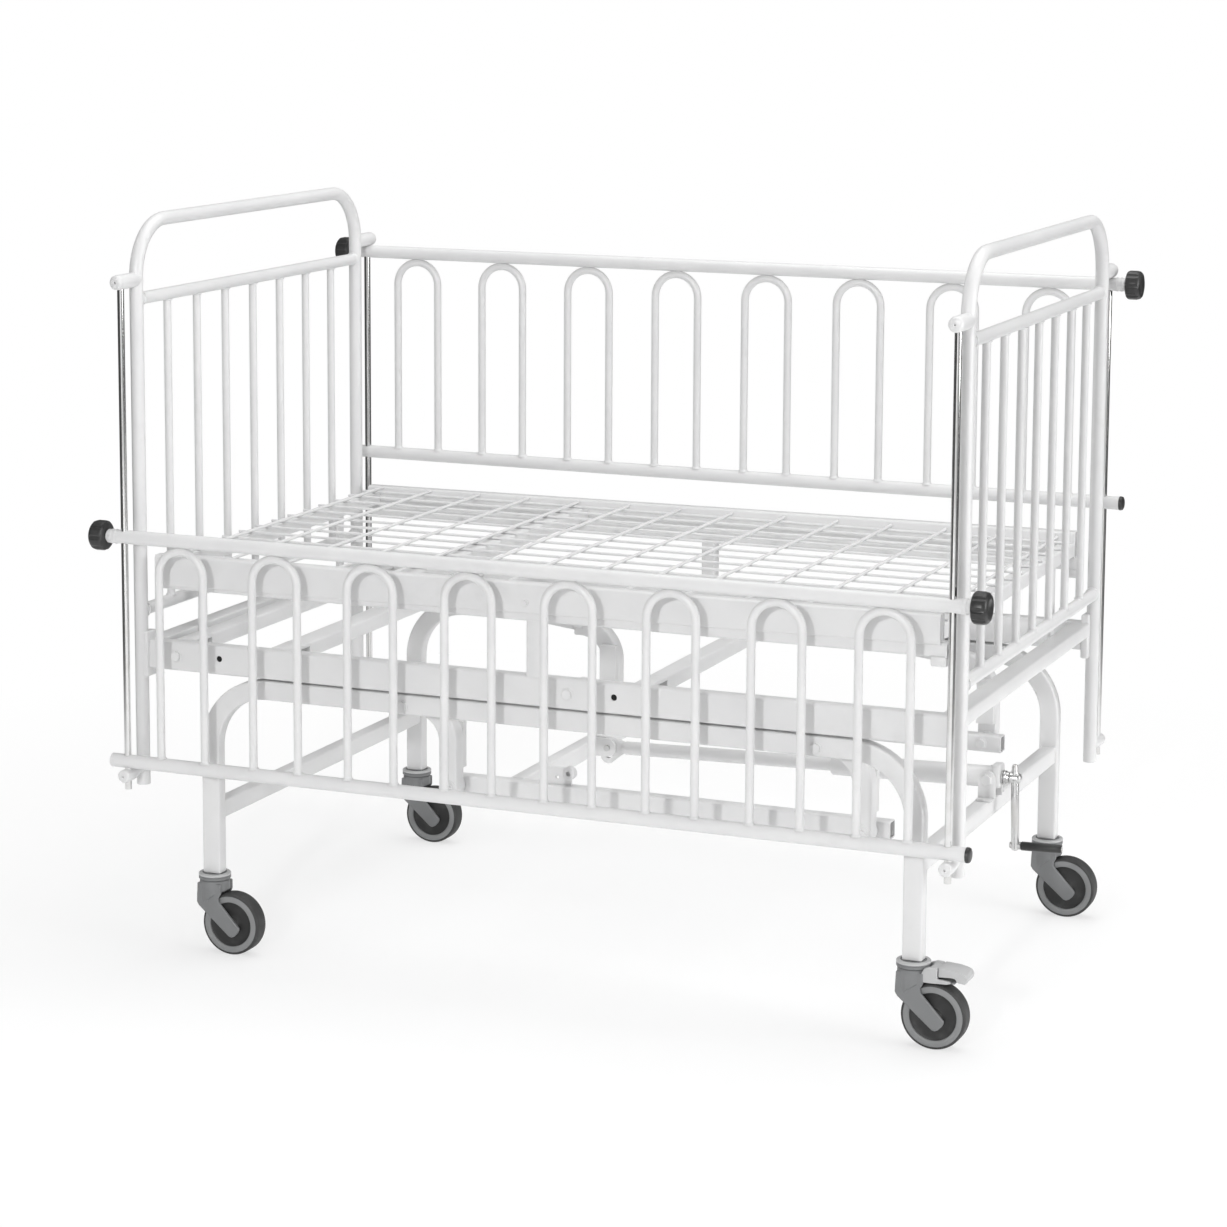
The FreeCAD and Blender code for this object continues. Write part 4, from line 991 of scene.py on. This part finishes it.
loop_legs = [(index - (LOOPS - 1) / 2) * LOOP_PITCH + leg
             for index in range(LOOPS) for leg in (-LOOP_HALF, LOOP_HALF)]
for side, (rail_y, low_z) in RAILS.items():
    beads(6.5, [((x, rail_y, low_z + 9.6), UP) for x in loop_legs], f"loop_welds_{side}",
          f"rail_{side}")
low_bar, high_bar = CROSSBARS_Z
beads(6.35, [((x, (index - (BARS - 1) / 2) * BAR_PITCH, z), turn)
             for x in (-POST_X, POST_X) for index in range(BARS)
             for z, turn in ((low_bar + CROSSBAR_RADIUS, UP), (high_bar - CROSSBAR_RADIUS, DOWN))],
      "bar_welds", "bed_frame")
beads(10, [((x, y, z), turn) for x in (-POST_X, POST_X) for z in CROSSBARS_Z
           for y, turn in ((-CROSSBAR_END, TO_FAR), (CROSSBAR_END, TO_NEAR))],
      "crossbar_welds", "bed_frame")

# %% [markdown]
# **Floor.**  A wide pale floor that fades into a white background.  Near the cot part of it is a
# real surface, which keeps the soft shadow; further out it shines white for the camera alone.  What
# lies far to the sides and behind is dark, as in a room, so that polished metal has something to
# mirror.

# %% Floor
FRONT = (0.38, -0.92)                       # the level direction of the studio's bright side


def frontness(start, direction):
    """How far a direction points to the bright front of the studio."""
    sideways = start.add("ShaderNodeSeparateXYZ", None, {0: direction}, output="X")
    across = start.add("ShaderNodeSeparateXYZ", None, {0: direction}, output="Y")
    return sideways * FRONT[0] + across * FRONT[1]


bpy.context.scene.view_settings.view_transform = "Standard"
bpy.ops.object.select_all(action="DESELECT")
bpy.ops.mesh.primitive_plane_add(size=60, location=(0, 0, 0))
floor = bpy.context.object
floor.name = "studio_floor"
material, paint, start = new_material("studio_floor", Roughness=0.9, Specular_IOR_Level=0.1)
tree = material.node_tree
place = start.add("ShaderNodeTexCoord", output="Object")
distance = start.add("ShaderNodeVectorMath", {"operation": "LENGTH"}, {0: place}, output="Value")
front = (frontness(start, place) / distance).ramp(0.75, 0.92)
dark = distance.ramp(1.8, 3.2) * (1 - front)
connect(paint, Base_Color=dark.blend(grey(0.93), grey(0.12)))
seen = start.add("ShaderNodeLightPath", output="Is Camera Ray")
white = start.add("ShaderNodeEmission", None, {"Color": grey(1.0), "Strength": 1.0})
glow = (distance.ramp(0.9, 2.2) * 0.4 + 0.6) * seen
mixed = start.add("ShaderNodeMixShader", None, {0: glow, 2: white})
tree.links.new(paint.outputs[0], mixed.out.node.inputs[1])
tree.links.new(mixed.out, tree.nodes["Material Output"].inputs["Surface"])
floor.data.materials.append(material)
print("floor laid")

# %% [markdown]
# **World.**  It is white for the camera and gives the object an even light.  Polished metal would
# look pale in an all-white room, so mirrors see a dimmer one that is bright at the front.

# %% World
AMBIENT, MIRRORED, MIRRORED_FRONT = 0.54, 0.18, 0.7
world = bpy.data.worlds.new("studio")
bpy.context.scene.world = world
world.use_nodes = True
sky = Socket(world.node_tree)
background = world.node_tree.nodes["Background"]
seen = sky.add("ShaderNodeLightPath", output="Is Camera Ray")
glossy = sky.add("ShaderNodeLightPath", output="Is Glossy Ray")
direction = sky.add("ShaderNodeTexCoord", output="Generated")
front = frontness(sky, direction).ramp(0.78, 0.94)
strength = (seen * (1 - AMBIENT) + glossy * (front * MIRRORED_FRONT + (MIRRORED - AMBIENT))
            + AMBIENT)
world.node_tree.links.new(strength.out, background.inputs["Strength"])
background.inputs["Color"].default_value = grey(1.0)
print("world ready")

# %% [markdown]
# **Lamps.**  The key light is small and stands in front, so the bars throw crisp shadows; the
# others are large and soft, and fill from the front, both sides and above.  All of them aim at the
# middle of the cot.  One small light alone would leave the far side black.

# %% Lamps
AIM = Vector((0, 0, 0.6))
LAMPS = {"key": ((0.6, -5.2, 2.0), 0.2, 76), "front": ((0.7, -5.4, 0.9), 1.5, 8),
         "right": ((4.8, -0.4, 1.6), 2.4, 108), "left": ((-3.6, -4.2, 2.8), 2.4, 12),
         "top": ((0.3, 0.6, 4.2), 3.5, 90)}     # place and size in metres, power in watts
for name, (place, size, power) in LAMPS.items():
    lamp = bpy.data.lights.new(name, "AREA")
    lamp.size = size
    lamp.energy = power
    holder = bpy.data.objects.new(name, lamp)
    holder.location = place
    holder.rotation_euler = (AIM - Vector(place)).to_track_quat("-Z", "Y").to_euler()
    bpy.context.scene.collection.objects.link(holder)
print(len(LAMPS), "lamps")
